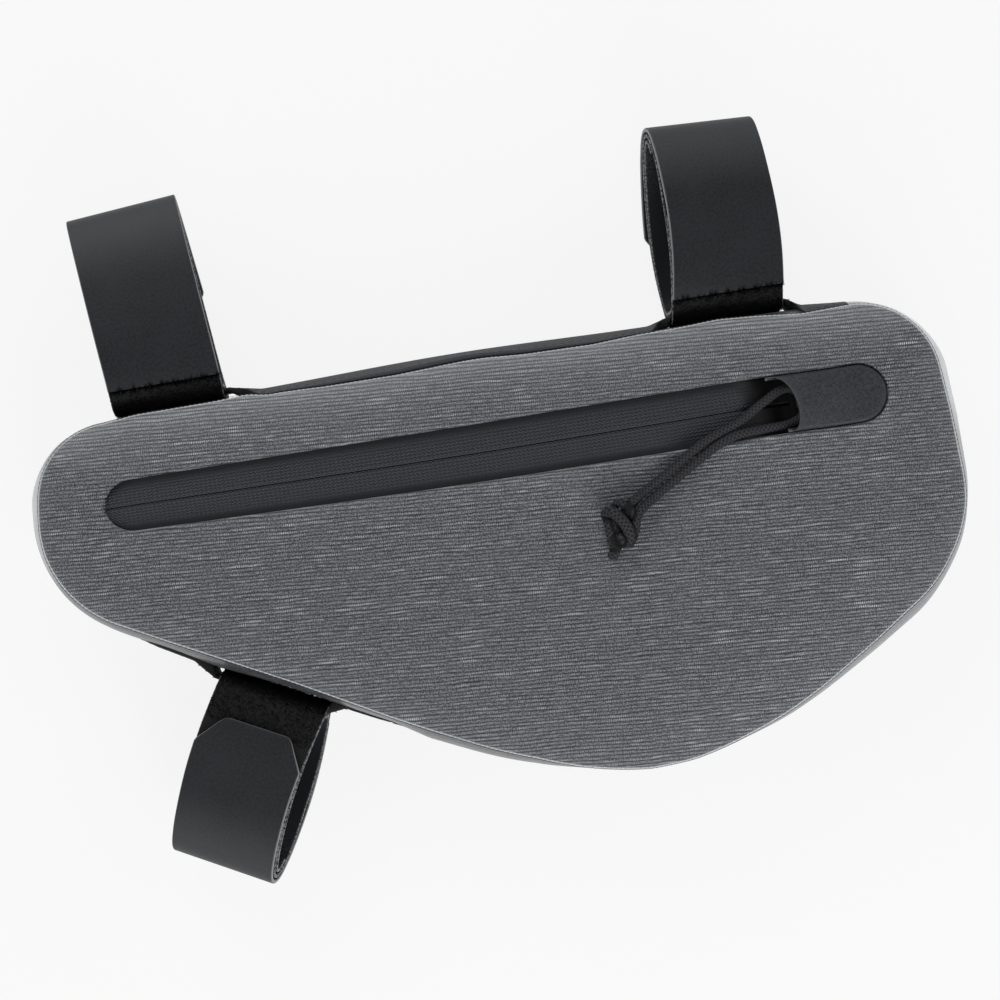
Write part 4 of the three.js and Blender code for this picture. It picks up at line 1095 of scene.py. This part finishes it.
def cord_line():
    """The cord's two strands in small even steps, each from the slider's eye to the knot: a spline
    through the places of its route."""
    route = lift(CORD_ROUTE[:, :2], front_height(CORD_ROUTE[:, :2]) + CORD_ROUTE[:, 2])
    steps = 4000
    fine = smooth_curve(route, False, np.linspace(0, 1, steps))
    at = lengths(fine)
    eye = at[int(steps * EYE / (len(route) - 1))]

    def stretch(start, stop):
        """Even steps along the spline between two distances."""
        along = np.linspace(start, stop, int(abs(stop - start) / CORD_STEP))
        return np.stack([np.interp(along, at, fine[:, k]) for k in range(3)], 1)

    return stretch(eye, 0), stretch(eye, at[-1])


def make_cords(finish, pitch, knot):
    """The two strands of the pull cord, each from the slider's eye to the knot."""
    for name, path in zip(("pull_cord_upper", "pull_cord_lower"), cord_line()):
        strand = Cloth()
        add_cord(strand, path, np.array([0, 0, 1.0]), CORD_WIDTH / 2, pitch)
        made = strand.piece(name, finish("Braided polyester cord"), ["pull_cord"])


def make_knot(finish, pitch):
    """Overhand knot in the doubled cord: short lengths of cord, each a spline through its table's places,
    laid over and under each other as they show, round a core."""
    c, s = np.cos(KNOT_TURN), np.sin(KNOT_TURN)
    axes = np.array([(c, s, 0), (-s, c, 0), (0, 0, 1)])
    middle = np.array([KNOT_X, KNOT_Y])
    centre = np.append(middle, front_height(middle[None])[0] + KNOT_TALL + KNOT_RISE)
    t = np.linspace(0, 1, KNOT_STEPS)
    paths = [centre + smooth_curve(np.array(keys), False, t) @ axes for _, _, *keys in KNOT_STRANDS]
    knot = Cloth()
    for k, (half_width, flat, *_) in enumerate(KNOT_STRANDS):
        others = [(paths[j], KNOT_STRANDS[j][0]) for j in range(len(paths)) if j != k]
        add_cord(knot, paths[k], axes[2], half_width, pitch, flat, others)
    return knot.piece("pull_knot_cord", finish("Braided polyester cord"), ["pull_knot"])


def corner_drop(i, d):
    """How far a rounded end of a side falls behind its straight line."""
    n = len(OUTLINE)
    _, along, _, length = side(i)

    def fall(corner, other, left):
        """Drop of a corner's arc at a distance left to the corner: radius less the leg to the circle."""
        turn = np.arccos(np.clip(along @ side(other)[1], -1, 1))
        r = OUTLINE[corner].radius
        past = np.clip(r * np.tan(turn / 2) - left, 0, r)
        return r - np.sqrt(r * r - past * past)

    return fall(i, (i - 1) % n, d) + fall((i + 1) % n, (i + 1) % n, length - d)


def strip_raised(strip, d, under=0):
    """Share of the lift of a strip's face, or underside, at a place along its side: 1 over a strap,
    falling straight to 0 beside it."""
    half = STRAP_WIDTH / 2 + 0.6
    shares = []
    for middle, *ramps in strip.over:
        before, after = ramps[2 * under:2 * under + 2]
        shares.append(1 - np.maximum((middle - half - d) / before, (d - middle - half) / after))
    return np.clip(np.stack(shares), 0, 1).max(0)


def strip_stand(strip, d, z, raised, under):
    """How far a strip's face or underside stands from the straight side: it follows the wall and lifts
    over each strap on its ramps. Only the underside follows the swell of the top wall in to the seam."""
    start, along, _, _ = side(strip.side)
    base = start + d[..., None] * along
    nearest = np.linalg.norm(base[..., None, :] - WIDEST, axis=-1).argmin(-1)
    ease = wall_ease(z, WALL_EASE[nearest], LIP_EASE[nearest])
    swell = (top_swell(d) if strip.side == TOP_SIDE else 0) * (wall_height(z) if under else 1)
    hug = corner_drop(strip.side, d) + wall_seam(z) * OUTLINE[strip.side].bulge - ease + strip.sunk
    return STRIP_REST + (STRIP_LIFT - STRIP_REST) * raised + swell - (1 - raised) * hug


def band_profile(width, thick, steps, radius):
    """Flat band in section with rounded corners, from one edge over the face to the other and back
    underneath: places across and through it, and 1 on its two edges."""
    bend = np.linspace(np.pi / 2, 0, 5)
    w = width / 2 - radius * (1 - np.cos(bend[:0:-1]))
    w = np.concatenate([w, [width / 2 - radius, width / 2 - radius - 0.3]])
    n = thick / 2 - round_off(width / 2 - w, radius) * thick / 2 / radius
    n[0] = 0.35 * n[1]
    middle = np.linspace(-w[-1], w[-1], steps)[1:-1]
    w = np.concatenate([-w, middle, w[::-1]])
    n = np.concatenate([n, np.full(steps - 2, thick / 2), n[::-1]])
    edge = np.clip(1 - n / (thick / 2), 0, 1) ** 0.5
    return np.concatenate([w, w[::-1]]), np.concatenate([n, -n[::-1]]), np.concatenate([edge, edge[::-1]])


def strip_place(strip, d, share, depth):
    """Point of a strip: d along its side, share of its width up from its lower edge, depth of its
    thickness out. It follows the wall's curve where it lies on it, and thins out towards its ends and
    into its skirt."""
    start, along, out, _ = side(strip.side)
    raised = strip_raised(strip, d)
    top = STRIP_HIGH + strip.skirt * (1 - smoothstep(raised, 0, 0.6))
    z = STRIP_LOW + share * (top - STRIP_LOW)
    ends = smoothstep(np.minimum(d - strip.start, strip.stop - d), -4, 14 + 1.2 * strip.skirt)
    thick = STRIP_THICK * ends * (1 - 0.8 * smoothstep(z, STRIP_HIGH - 4, STRIP_HIGH + SKIRT_HIGH))
    under = strip_stand(strip, d, z, strip_raised(strip, d, 1), True)
    face = strip_stand(strip, d, z, raised, False) + thick
    away = under + (face - under) * depth
    return lift(start + d[..., None] * along + away[..., None] * out, z)


def make_strip(strip, finish):
    """Anchor strip: a flat woven band carried along one side of the wall, with rows of lock stitches
    along both edges and across it on both sides of each strap."""
    d = np.linspace(strip.start, strip.stop, int((strip.stop - strip.start) / STRIP_STEP))
    width = STRIP_HIGH - STRIP_LOW
    w, n, _ = band_profile(width, STRIP_THICK, 20, 0.5)
    shape = (len(d), len(w))
    share = np.broadcast_to(w / width + 0.5, shape)
    points = strip_place(strip, np.broadcast_to(d[:, None], shape), share, n / STRIP_THICK + 0.5)
    places = np.stack(np.meshgrid(d, np.append(w, w[0] - 0.1) + 30, indexing="ij"), -1)
    # Painted shade where the top strip lifts over a strap; the lower strip is marked black all along.
    darkened = smoothstep(strip_raised(strip, d), 0.05, 0.5) if strip.skirt else np.ones_like(d)
    band = Cloth()
    band.grid(points, places, darkened[:, None], wrap=(False, True), caps=True)
    webbing = finish("Woven polyester webbing")
    band.piece(strip.name + "_webbing", webbing, [strip.name], sharp=50)
    _, along, out, _ = side(strip.side)
    rows = []
    for share in LONG_ROWS:
        d = np.arange(strip.start + LONG_END, strip.stop - LONG_END, LONG_PITCH)
        rows.append((d, np.full_like(d, share), np.append(along, 0), LONG_HALF))
    for middle, *_ in strip.over:
        beside = STRAP_WIDTH / 2 + CROSS_BESIDE
        for at in (middle - beside, middle + beside):
            if at < strip.stop:
                rows.append((np.full_like(CROSS_ROW, at), CROSS_ROW, np.array([0, 0, 1.0]), CROSS_HALF))
    thread = Cloth()
    for d, share, ahead, half in rows:
        points = strip_place(strip, d, share, 0.95)
        ahead = np.broadcast_to(ahead, points.shape)
        add_stitches(thread, points, ahead, np.append(out, 0), half, LOCK_RADIUS)
    thread.piece(strip.name + "_stitches", finish("Black polyester thread"))


def add_stitches(cloth, points, ahead, outward, half, radius):
    """Stitches: short four-sided beads with pointed ends, each at its point, lying along ahead."""
    turn = np.arange(4) * np.pi / 2
    rings = [np.stack([np.full(4, at), np.cos(turn), np.sin(turn)], 1) for at in (-0.65, 0.65)]
    form = np.vstack([[(-1.0, 0, 0)], *rings, [(1.0, 0, 0)]]) * (half, radius, radius)
    sideways = np.cross(outward, ahead)
    axes = np.stack([ahead, sideways, np.broadcast_to(outward, points.shape)], 1)
    around = [(k, (k + 1) % 4) for k in range(4)]
    faces = [(0, 1 + b, 1 + a) for a, b in around]
    faces += [(1 + a, 1 + b, 5 + b, 5 + a) for a, b in around]
    faces += [(9, 5 + a, 5 + b) for a, b in around]
    cloth.copies(points[:, None] + form @ axes, faces, points[:, :2] + 300)


def strap_point(strap, u, v, w):
    """Point of a strap: u out from the wall, v through the loop, w across the strap. It leans and turns
    in its plane with the distance, and twists about its length."""
    start, along, out, _ = side(strap.side)
    share = u / strap.reach
    turn = np.radians(strap.twist) * np.tanh(share / strap.settle)
    depth = strap.tab_side * v
    u = u - w * share * strap.lean / strap.reach
    across = w * np.cos(turn) - depth * np.sin(turn) + strap.lean * share
    height = depth * np.cos(turn) + w * np.sin(turn)
    xy = start + (strap.along + across)[..., None] * along + u[..., None] * out
    return lift(xy, MID_DEPTH + height)


def hole_curve(strap, t):
    """Edge of the strap's loop hole: a closed spline from the wall outward and back, t in turns."""
    length = strap.reach - STRIP_STACK - 3 * LOOP_TAPE - 2 * GAP - HOOK_TAPE
    there = np.stack([STRIP_STACK + LOOP_TAPE + STRAP_HOLE[:, 0] * length, STRAP_HOLE[:, 1]], 1)
    back = there[-2:0:-1] * (1, -1)
    return smooth_curve(np.vstack([there, back]), True, np.mod(t, 1))


def turn_at(strap, u, returning):
    """Turn of the hole curve, on its outward or returning half, at the distance u from the wall."""
    t = np.linspace(0.5, 1, 401) if returning else np.linspace(0, 0.5, 401)
    return t[np.abs(hole_curve(strap, t)[:, 0] - u).argmin()]


class Tape:
    """A tape wound round the hole of a strap's loop, from turn t0 to t1, its middle at a distance from
    the hole's edge that layer gives. point(s, w, n) is the place s along it, w across it and n above its
    middle."""

    def __init__(self, strap, t0, t1, layer):
        t = np.linspace(t0, t1, int(abs(t1 - t0) * 420))
        slope = unit(hole_curve(strap, t + 1e-4) - hole_curve(strap, t - 1e-4))
        out = np.stack([-slope[:, 1], slope[:, 0]], 1)
        self.strap = strap
        self.middle = hole_curve(strap, t) + out * layer(t)[:, None]
        ahead = unit(np.gradient(self.middle, axis=0))
        self.out = np.stack([-ahead[:, 1], ahead[:, 0]], 1)
        self.at = lengths(self.middle)
        self.turn = t

    def point(self, s, w, n):
        """The middle at s moved out by n along its normal, in the strap's own places."""
        middle, out = (
            [np.interp(s, self.at, line[:, k]) for k in range(2)] for line in (self.middle, self.out)
        )
        return strap_point(self.strap, middle[0] + n * out[0], middle[1] + n * out[1], w)


def loop_layer(t):
    """Distance of the loop tape's middle from the hole: outer, further out under the strip, then inner."""
    strip = 1 - smoothstep(np.abs(t), 0.09, 0.17)
    outer = OUTER_LAYER + strip * (STRIP_THICK + GAP)
    return outer + (INNER_LAYER - outer) * smoothstep(t, 0.58, 0.7)


def add_band(cloth, tape, thick, half_width, steps, skew=0.0):
    """A flat tape with rounded edges carried along its winding, half_width wide at each place, its start
    shifted aside by skew, which dies out along it. Its face has texture places up to 50 mm across, its
    back from there on. It is paler at its edges, and painted paler towards the far end where it bends over,
    a painted sheen."""
    s = np.linspace(0, tape.at[-1], int(tape.at[-1] / 0.9))
    s = np.sort(np.concatenate([s, [0.15, 0.35, s[-1] - 0.35, s[-1] - 0.15]]))
    w, n, edge = band_profile(STRAP_WIDTH, thick, steps, TAPE_ROUND)
    wide = half_width(s)[:, None] / (STRAP_WIDTH / 2)
    shape = (len(s), len(w))
    aside = skew * np.clip(1 - s / (0.4 * s[-1]), 0, 1)[:, None]
    points = tape.point(np.broadcast_to(s[:, None], shape), w * wide + aside, np.broadcast_to(n, shape))
    back = np.where(np.arange(len(w) + 1) >= len(w) // 2, 70, 0)
    places = np.stack(np.meshgrid(s, np.append(w, w[0]) + 30 + back, indexing="ij"), -1)
    ends = 0.25 * np.exp(-s / 0.12)[:, None]
    far = np.interp(s, tape.at, tape.middle[:, 0]) / tape.strap.reach
    # Painted sheen: paler towards the far end, where the strap curves away and catches the light.
    wear_and_painted_sheen = 0.13 * smoothstep(far, 0.6, 0.97)[:, None]
    cloth.grid(points, places, np.maximum(np.maximum(edge, ends), wear_and_painted_sheen), wrap=(False, True), caps=True)


def add_pile(cloth, tape, count, length, rng):
    """Pile of the loop tape: bent fibres, thick at the root and pointed, over the outer face where the
    hook tape leaves it uncovered, and along both cut edges all the way. More of them stand beside the hook
    tape's sewn end."""
    strap = tape.strap
    bare_out = turn_at(strap, strap.tab + 2, False)
    bare_back = turn_at(strap, HOOK_END + 3, True) - 1
    first, last = np.interp([bare_back, bare_out], tape.turn, tape.at)
    edges, crowd = count // 4, count // 6
    total = count + edges
    half = STRAP_WIDTH / 2
    s = np.concatenate([rng.uniform(first, last, count), rng.uniform(0, tape.at[-1], edges)])
    hook_end = first + 1.5
    s[:crowd] = hook_end + rng.exponential(0.5, crowd)
    face_w = rng.uniform(-half + 0.2, half - 0.2, count)
    w = np.concatenate([face_w, rng.choice([-1, 1], edges) * (half - 0.25)])
    n = np.concatenate([np.full(count, LOOP_TAPE / 2 - PILE_SUNK / 2), rng.uniform(-0.7, 0.7, edges)])
    ds = np.clip(rng.normal(0, 0.55 * length, total), -length, length)
    dw = np.clip(rng.normal(0, 0.55 * length, count), -length, length)
    dw = np.concatenate([dw, np.sign(w[count:]) * rng.uniform(0.1, 0.35, edges) * length])
    dw = np.clip(w + dw, -half - 0.1, half + 0.1) - w
    rise = np.concatenate([rng.uniform(0.35, 0.95, count) * length, rng.normal(0, 0.12, edges)])
    # Beside the sewn end of the hook tape the pile stands up in tufts and leans over it.
    tuft = smoothstep(np.sin(3.3 * face_w) + np.sin(1.3 * face_w + 1.3), -1.8, 1.4)
    beside = tuft * np.exp(-np.abs(s[:count] - hook_end) / 0.7) * (s[:count] > hook_end)
    rise[:count] *= 1 + 5 * beside
    lean = np.append(rng.uniform(0.5, 2.4, count) * beside, np.zeros(edges))[:, None]
    # A fibre is a ring of three points at its root, one at its bend and a tip.
    angle = np.arange(3) * 2 * np.pi / 3
    ring = np.repeat([0, 1, 2], [3, 3, 1])
    spine, high, tip = (np.array(k)[ring] for k in ((0, 0.55, 1.0), (0, 0.85, 0.8), (0, 0, 1.0)))
    round_s, round_w = (
        FIBRE_RADIUS * np.concatenate([k, FIBRE_TAPER * k, [0]]) for k in (np.cos(angle), np.sin(angle))
    )
    points = tape.point(
        s[:, None] + ds[:, None] * spine - lean * tip + round_s,
        w[:, None] + dw[:, None] * spine + round_w,
        n[:, None] + rise[:, None] * high,
    )
    around = [(k, (k + 1) % 3) for k in range(3)]
    faces = [(2, 1, 0)] + [(a, b, 3 + b, 3 + a) for a, b in around]
    faces += [(3 + a, 3 + b, 6) for a, b in around]
    shine = np.where(rng.random(total) > DULL_SHARE, 1.0, 0.04 * rng.random(total))
    shine[count:] = rng.random(edges) ** 0.7
    cloth.copies(points, faces, np.stack([s, w + 30], 1), shine)


def make_strap(strap, finish, settings, seed):
    """One strap: the loop tape with its pile, and the hook tape with its chamfered tab over it."""
    rng = np.random.default_rng(seed)
    start = -turn_at(strap, LOOP_START, False)
    stop = 2 - turn_at(strap, LOOP_END * strap.reach, False)
    wound = Tape(strap, start, stop, loop_layer)
    loop, hook = strap.name + "_loop", strap.name + "_hook"
    ground = Cloth()
    add_band(ground, wound, LOOP_TAPE - PILE_SUNK, lambda s: np.full_like(s, STRAP_WIDTH / 2), 12)
    ground.piece(loop + "_tape", finish("Woven nylon loop tape"), [loop], sharp=50)
    pile = Cloth()
    add_pile(pile, wound, settings.pile_count, settings.pile_length / MM, rng)
    pile.piece(loop + "_pile", finish("Brushed nylon loop pile"), outward=False)

    def tabbed(s):
        """Half width along the tape: the strap's, less the tab's chamfer and its rounded end."""
        chamfer = TAB_ACROSS * np.clip(1 - s / TAB_ALONG, 0, 1)
        return STRAP_WIDTH / 2 - chamfer - round_off(s, TAB_ROUND)

    tab, sewn = turn_at(strap, strap.tab, False), turn_at(strap, HOOK_END + 2, True)
    outer = Tape(strap, tab, sewn, lambda t: np.full_like(t, HOOK_LAYER))
    tape = Cloth()
    add_band(tape, outer, HOOK_TAPE, tabbed, 16, strap.skew)
    tape.piece(hook + "_tape", finish("Nylon hook tape"), [hook], sharp=50)


def colour_setting(name, description, hex_colour):
    """A colour that can be set."""
    return bpy.props.FloatVectorProperty(
        name=name, description=description, default=linear(hex_colour),
        min=0, max=1, size=3, subtype="COLOR",
    )


def length_setting(name, description, default):
    """A length in metres that can be set."""
    return bpy.props.FloatProperty(
        name=name, description=description, default=default, min=1e-4, precision=5, unit="LENGTH"
    )


def angle_setting(name, description, degrees):
    """An angle that can be set, given in degrees."""
    return bpy.props.FloatProperty(
        name=name, description=description, default=np.radians(degrees), subtype="ANGLE"
    )


class FabricSettings(bpy.types.PropertyGroup):
    """Heather fabric of the panels and the wall."""

    yarn: colour_setting("Yarn", "Colour on top of a rib", "707277")
    yarn_dark: colour_setting("Dark yarn", "Colour of the darker flecks in the yarn", "383a3e")
    groove: colour_setting("Groove", "Colour between two ribs", "101113")
    slub: colour_setting("Slub", "Colour of the light slubs", "c6c8ca")
    # Colour of the painted highlights on the panels and the wall.
    edge_and_painted_light: colour_setting("Cut edge", "Colour of the fabric's cut edges and rubbed ribs", "d8dadc")
    thread: colour_setting("Seam thread", "Colour of the thread along the seams", "dcdee0")
    rib_pitch: length_setting("Rib pitch", "Distance between two ribs", 0.00125)
    dot_pitch: length_setting("Dot pitch", "Distance between two dots along a rib", 0.0007)
    slub_length: length_setting("Slub length", "Typical length of a light slub", 0.012)
    rib_turn: angle_setting("Rib turn", "Turn of the ribs from the top edge", -3.9)


class ZipSettings(bpy.types.PropertyGroup):
    """Zip tape and the garage over its end."""

    tape: colour_setting("Tape", "Colour of the zip tape", "0b0c0e")
    tape_light: colour_setting("Tape highlights", "Colour on top of the chevrons", "3a3c41")
    garage: colour_setting("Garage", "Colour of the garage film", "28292c")
    chevron_pitch: length_setting("Chevron", "Length of one arm of a chevron along the zip", 0.00075)
    chevron_rows: length_setting("Chevron rows", "Distance between two rows of chevrons", 0.00115)


class CordSettings(bpy.types.PropertyGroup):
    """Pull cord and its knot."""

    cord: colour_setting("Cord", "Colour on top of the braid's strands", "3b3b3f")
    cord_dark: colour_setting("Cord shade", "Colour between the braid's strands", "0b0b0d")
    braid_pitch: length_setting("Braid pitch", "Length of a braid strand between two crossings", 0.0015)


class StrapSettings(bpy.types.PropertyGroup):
    """Straps and the strips that hold them."""

    hook: colour_setting("Hook tape", "Colour of the hook tape's back", "191a1d")
    tape_edge: colour_setting("Tape edge", "Colour of the tapes' cut edges", "8e8f91")
    pile: colour_setting("Pile", "Colour deep in the loop pile", "060607")
    pile_light: colour_setting("Pile tips", "Colour of the fibres that catch the light", "646468")
    strip: colour_setting("Strip", "Colour of the anchor strips", "333437")
    # Painted shade of the top strip over the straps, and the colour of the whole lower strip.
    strip_dark: colour_setting("Strip over straps", "Colour of the strips where doubled", "121214")
    pile_length: length_setting("Pile length", "Length of a pile fibre", 0.0008)
    pile_count: bpy.props.IntProperty(
        name="Pile fibres", description="Fibres on the bare face of each strap",
        default=9000, min=0, max=12000,
    )


class StageSettings(bpy.types.PropertyGroup):
    """Floor, lights and camera."""

    floor: colour_setting("Floor", "Colour of the floor", "474747")
    floor_glow: bpy.props.FloatProperty(
        name="Floor glow", description="Light that comes through the white floor sheet",
        default=0.868, min=0,
    )
    camera_height: length_setting("Camera height", "Height of the camera over the widest outline", 1.0)
    camera_roll: angle_setting("Camera roll", "Turn of the picture about the line of sight", -9.2)
    picture_width: length_setting("Picture width", "Width of the picture at the widest outline", 0.342)


class FrameBagSettings(bpy.types.PropertyGroup):
    """All settings of the bag."""

    fabric: bpy.props.PointerProperty(type=FabricSettings, name="Fabric", description="Panels and wall")
    zip: bpy.props.PointerProperty(type=ZipSettings, name="Zip", description="Zip and garage")
    cord: bpy.props.PointerProperty(type=CordSettings, name="Cord", description="Pull cord and knot")
    straps: bpy.props.PointerProperty(type=StrapSettings, name="Straps", description="Straps and strips")
    stage: bpy.props.PointerProperty(type=StageSettings, name="Stage", description="Floor and camera")


class FRAMEBAG_OT_body(bpy.types.Operator):
    """Sews the front panel, the wall, the back panel and the edges of their seams"""

    bl_idname = "frame_bag.body"
    bl_label = "Body"

    def execute(self, context):
        settings = context.scene.frame_bag
        finish = finish_of(settings)
        make_front_panel(finish, settings.fabric.rib_turn)
        make_wall(finish)
        make_back_panel(finish, settings.fabric.rib_turn)
        make_seam("front_seam_thread", finish, lip_ring(PANEL_INSET - 0.05), FRONT_SEAM_Z + 0.6, 0.26)
        make_seam("back_seam_thread", finish, bag_outline(BACK_SEAM, -0.2), WALL + 0.35, 0.25)
        make_seam_stitches("front_seam_stitches", finish, lip_ring(-0.4), FRONT_SEAM_Z - 0.75)
        return {"FINISHED"}


class FRAMEBAG_OT_zip(bpy.types.Operator):
    """Sets in the two halves of the zip and the garage over its end, and finishes the slider"""

    bl_idname = "frame_bag.zip"
    bl_label = "Zip"

    def execute(self, context):
        finish = finish_of(context.scene.frame_bag)
        make_zip_half("zip_tape_upper", finish, 1)
        make_zip_half("zip_tape_lower", finish, -1)
        make_garage(finish)
        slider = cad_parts["zip_slider"]
        slider.data.materials.clear()
        slider.data.materials.append(finish("Black painted zinc"))
        return {"FINISHED"}


class FRAMEBAG_OT_cord(bpy.types.Operator):
    """Ties the knot and lays the two strands of the pull cord"""

    bl_idname = "frame_bag.cord"
    bl_label = "Pull cord"

    def execute(self, context):
        settings = context.scene.frame_bag
        finish = finish_of(settings)
        pitch = settings.cord.braid_pitch / MM
        make_cords(finish, pitch, make_knot(finish, pitch))
        return {"FINISHED"}


class FRAMEBAG_OT_strips(bpy.types.Operator):
    """Sews on the two anchor strips that hold the straps"""

    bl_idname = "frame_bag.strips"
    bl_label = "Anchor strips"

    def execute(self, context):
        finish = finish_of(context.scene.frame_bag)
        for strip in STRIPS:
            make_strip(strip, finish)
        return {"FINISHED"}


class FRAMEBAG_OT_straps(bpy.types.Operator):
    """Winds the three straps of hook and loop tape"""

    bl_idname = "frame_bag.straps"
    bl_label = "Straps"

    def execute(self, context):
        settings = context.scene.frame_bag
        finish = finish_of(settings)
        for seed, strap in enumerate(STRAPS):
            make_strap(strap, finish, settings.straps, seed + 1)
        return {"FINISHED"}


class FRAMEBAG_OT_stage(bpy.types.Operator):
    """Lays the white floor, and sets the lights and the camera straight above the bag"""

    bl_idname = "frame_bag.stage"
    bl_label = "Stage"

    def execute(self, context):
        stage = context.scene.frame_bag.stage
        scene = context.scene
        scene.view_settings.view_transform = "Standard"
        mesh = bpy.data.meshes.new("floor")
        turns = ((-1, -1), (1, -1), (1, 1), (-1, 1))
        corners = [(FLOOR_HALF * x, FLOOR_HALF * y, -FLOOR_DROP) for x, y in turns]
        mesh.from_pydata(corners, [], [(0, 1, 2, 3)])
        mesh.materials.append(floor_acrylic("White acrylic sheet", stage))
        floor = bpy.data.objects.new("floor", mesh)
        scene.collection.objects.link(floor)
        world = bpy.data.worlds.new("studio")
        world.use_nodes = True
        sky = world.node_tree.nodes["Background"].inputs
        sky[0].default_value = SKY
        sky[1].default_value = SKY_STRENGTH
        scene.world = world
        aim = Vector((0, 0, MID_DEPTH * MM))
        for name, place, power in LAMPS:
            lamp = bpy.data.lights.new(name, "AREA")
            lamp.shape = "DISK"
            lamp.size = SOFTBOX
            lamp.energy = power
            box = bpy.data.objects.new(name, lamp)
            scene.collection.objects.link(box)
            box.location = place
            box.rotation_euler = (aim - box.location).to_track_quat("-Z", "Y").to_euler()
        lens = bpy.data.cameras.new("camera")
        lens.sensor_width = SENSOR
        lens.lens = SENSOR * stage.camera_height / stage.picture_width
        lens.clip_start = 0.01
        camera = bpy.data.objects.new("camera", lens)
        scene.collection.objects.link(camera)
        camera.location = (SHIFT[0] * MM, SHIFT[1] * MM, MID_DEPTH * MM + stage.camera_height)
        camera.rotation_euler = (0, 0, stage.camera_roll)
        scene.camera = camera
        return {"FINISHED"}


MAKERS = (
    FRAMEBAG_OT_stage,
    FRAMEBAG_OT_cord,
    FRAMEBAG_OT_body,
    FRAMEBAG_OT_zip,
    FRAMEBAG_OT_strips,
    FRAMEBAG_OT_straps,
)


class VIEW3D_PT_frame_bag(bpy.types.Panel):
    """Makers and settings of the frame bag"""

    bl_label = "Frame bag"
    bl_space_type = "VIEW_3D"
    bl_region_type = "UI"
    bl_category = "Frame bag"

    def draw(self, context):
        for maker in MAKERS:
            self.layout.operator(maker.bl_idname)
        settings = context.scene.frame_bag
        for group in (settings.fabric, settings.zip, settings.cord, settings.straps, settings.stage):
            box = self.layout.box()
            for name in group.bl_rna.properties.keys():
                if name not in ("rna_type", "name"):
                    box.prop(group, name)


CLASSES = (
    FabricSettings, ZipSettings, CordSettings, StrapSettings, StageSettings, FrameBagSettings, *MAKERS,
    VIEW3D_PT_frame_bag,
)


def register():
    for cls in CLASSES:
        bpy.utils.register_class(cls)
    bpy.types.Scene.frame_bag = bpy.props.PointerProperty(type=FrameBagSettings)


def unregister():
    del bpy.types.Scene.frame_bag
    for cls in reversed(CLASSES):
        bpy.utils.unregister_class(cls)


def main():
    register()
    bpy.ops.frame_bag.stage()
    bpy.ops.frame_bag.cord()
    bpy.ops.frame_bag.body()
    bpy.ops.frame_bag.zip()
    bpy.ops.frame_bag.strips()
    bpy.ops.frame_bag.straps()


if __name__ == "__main__":
    main()
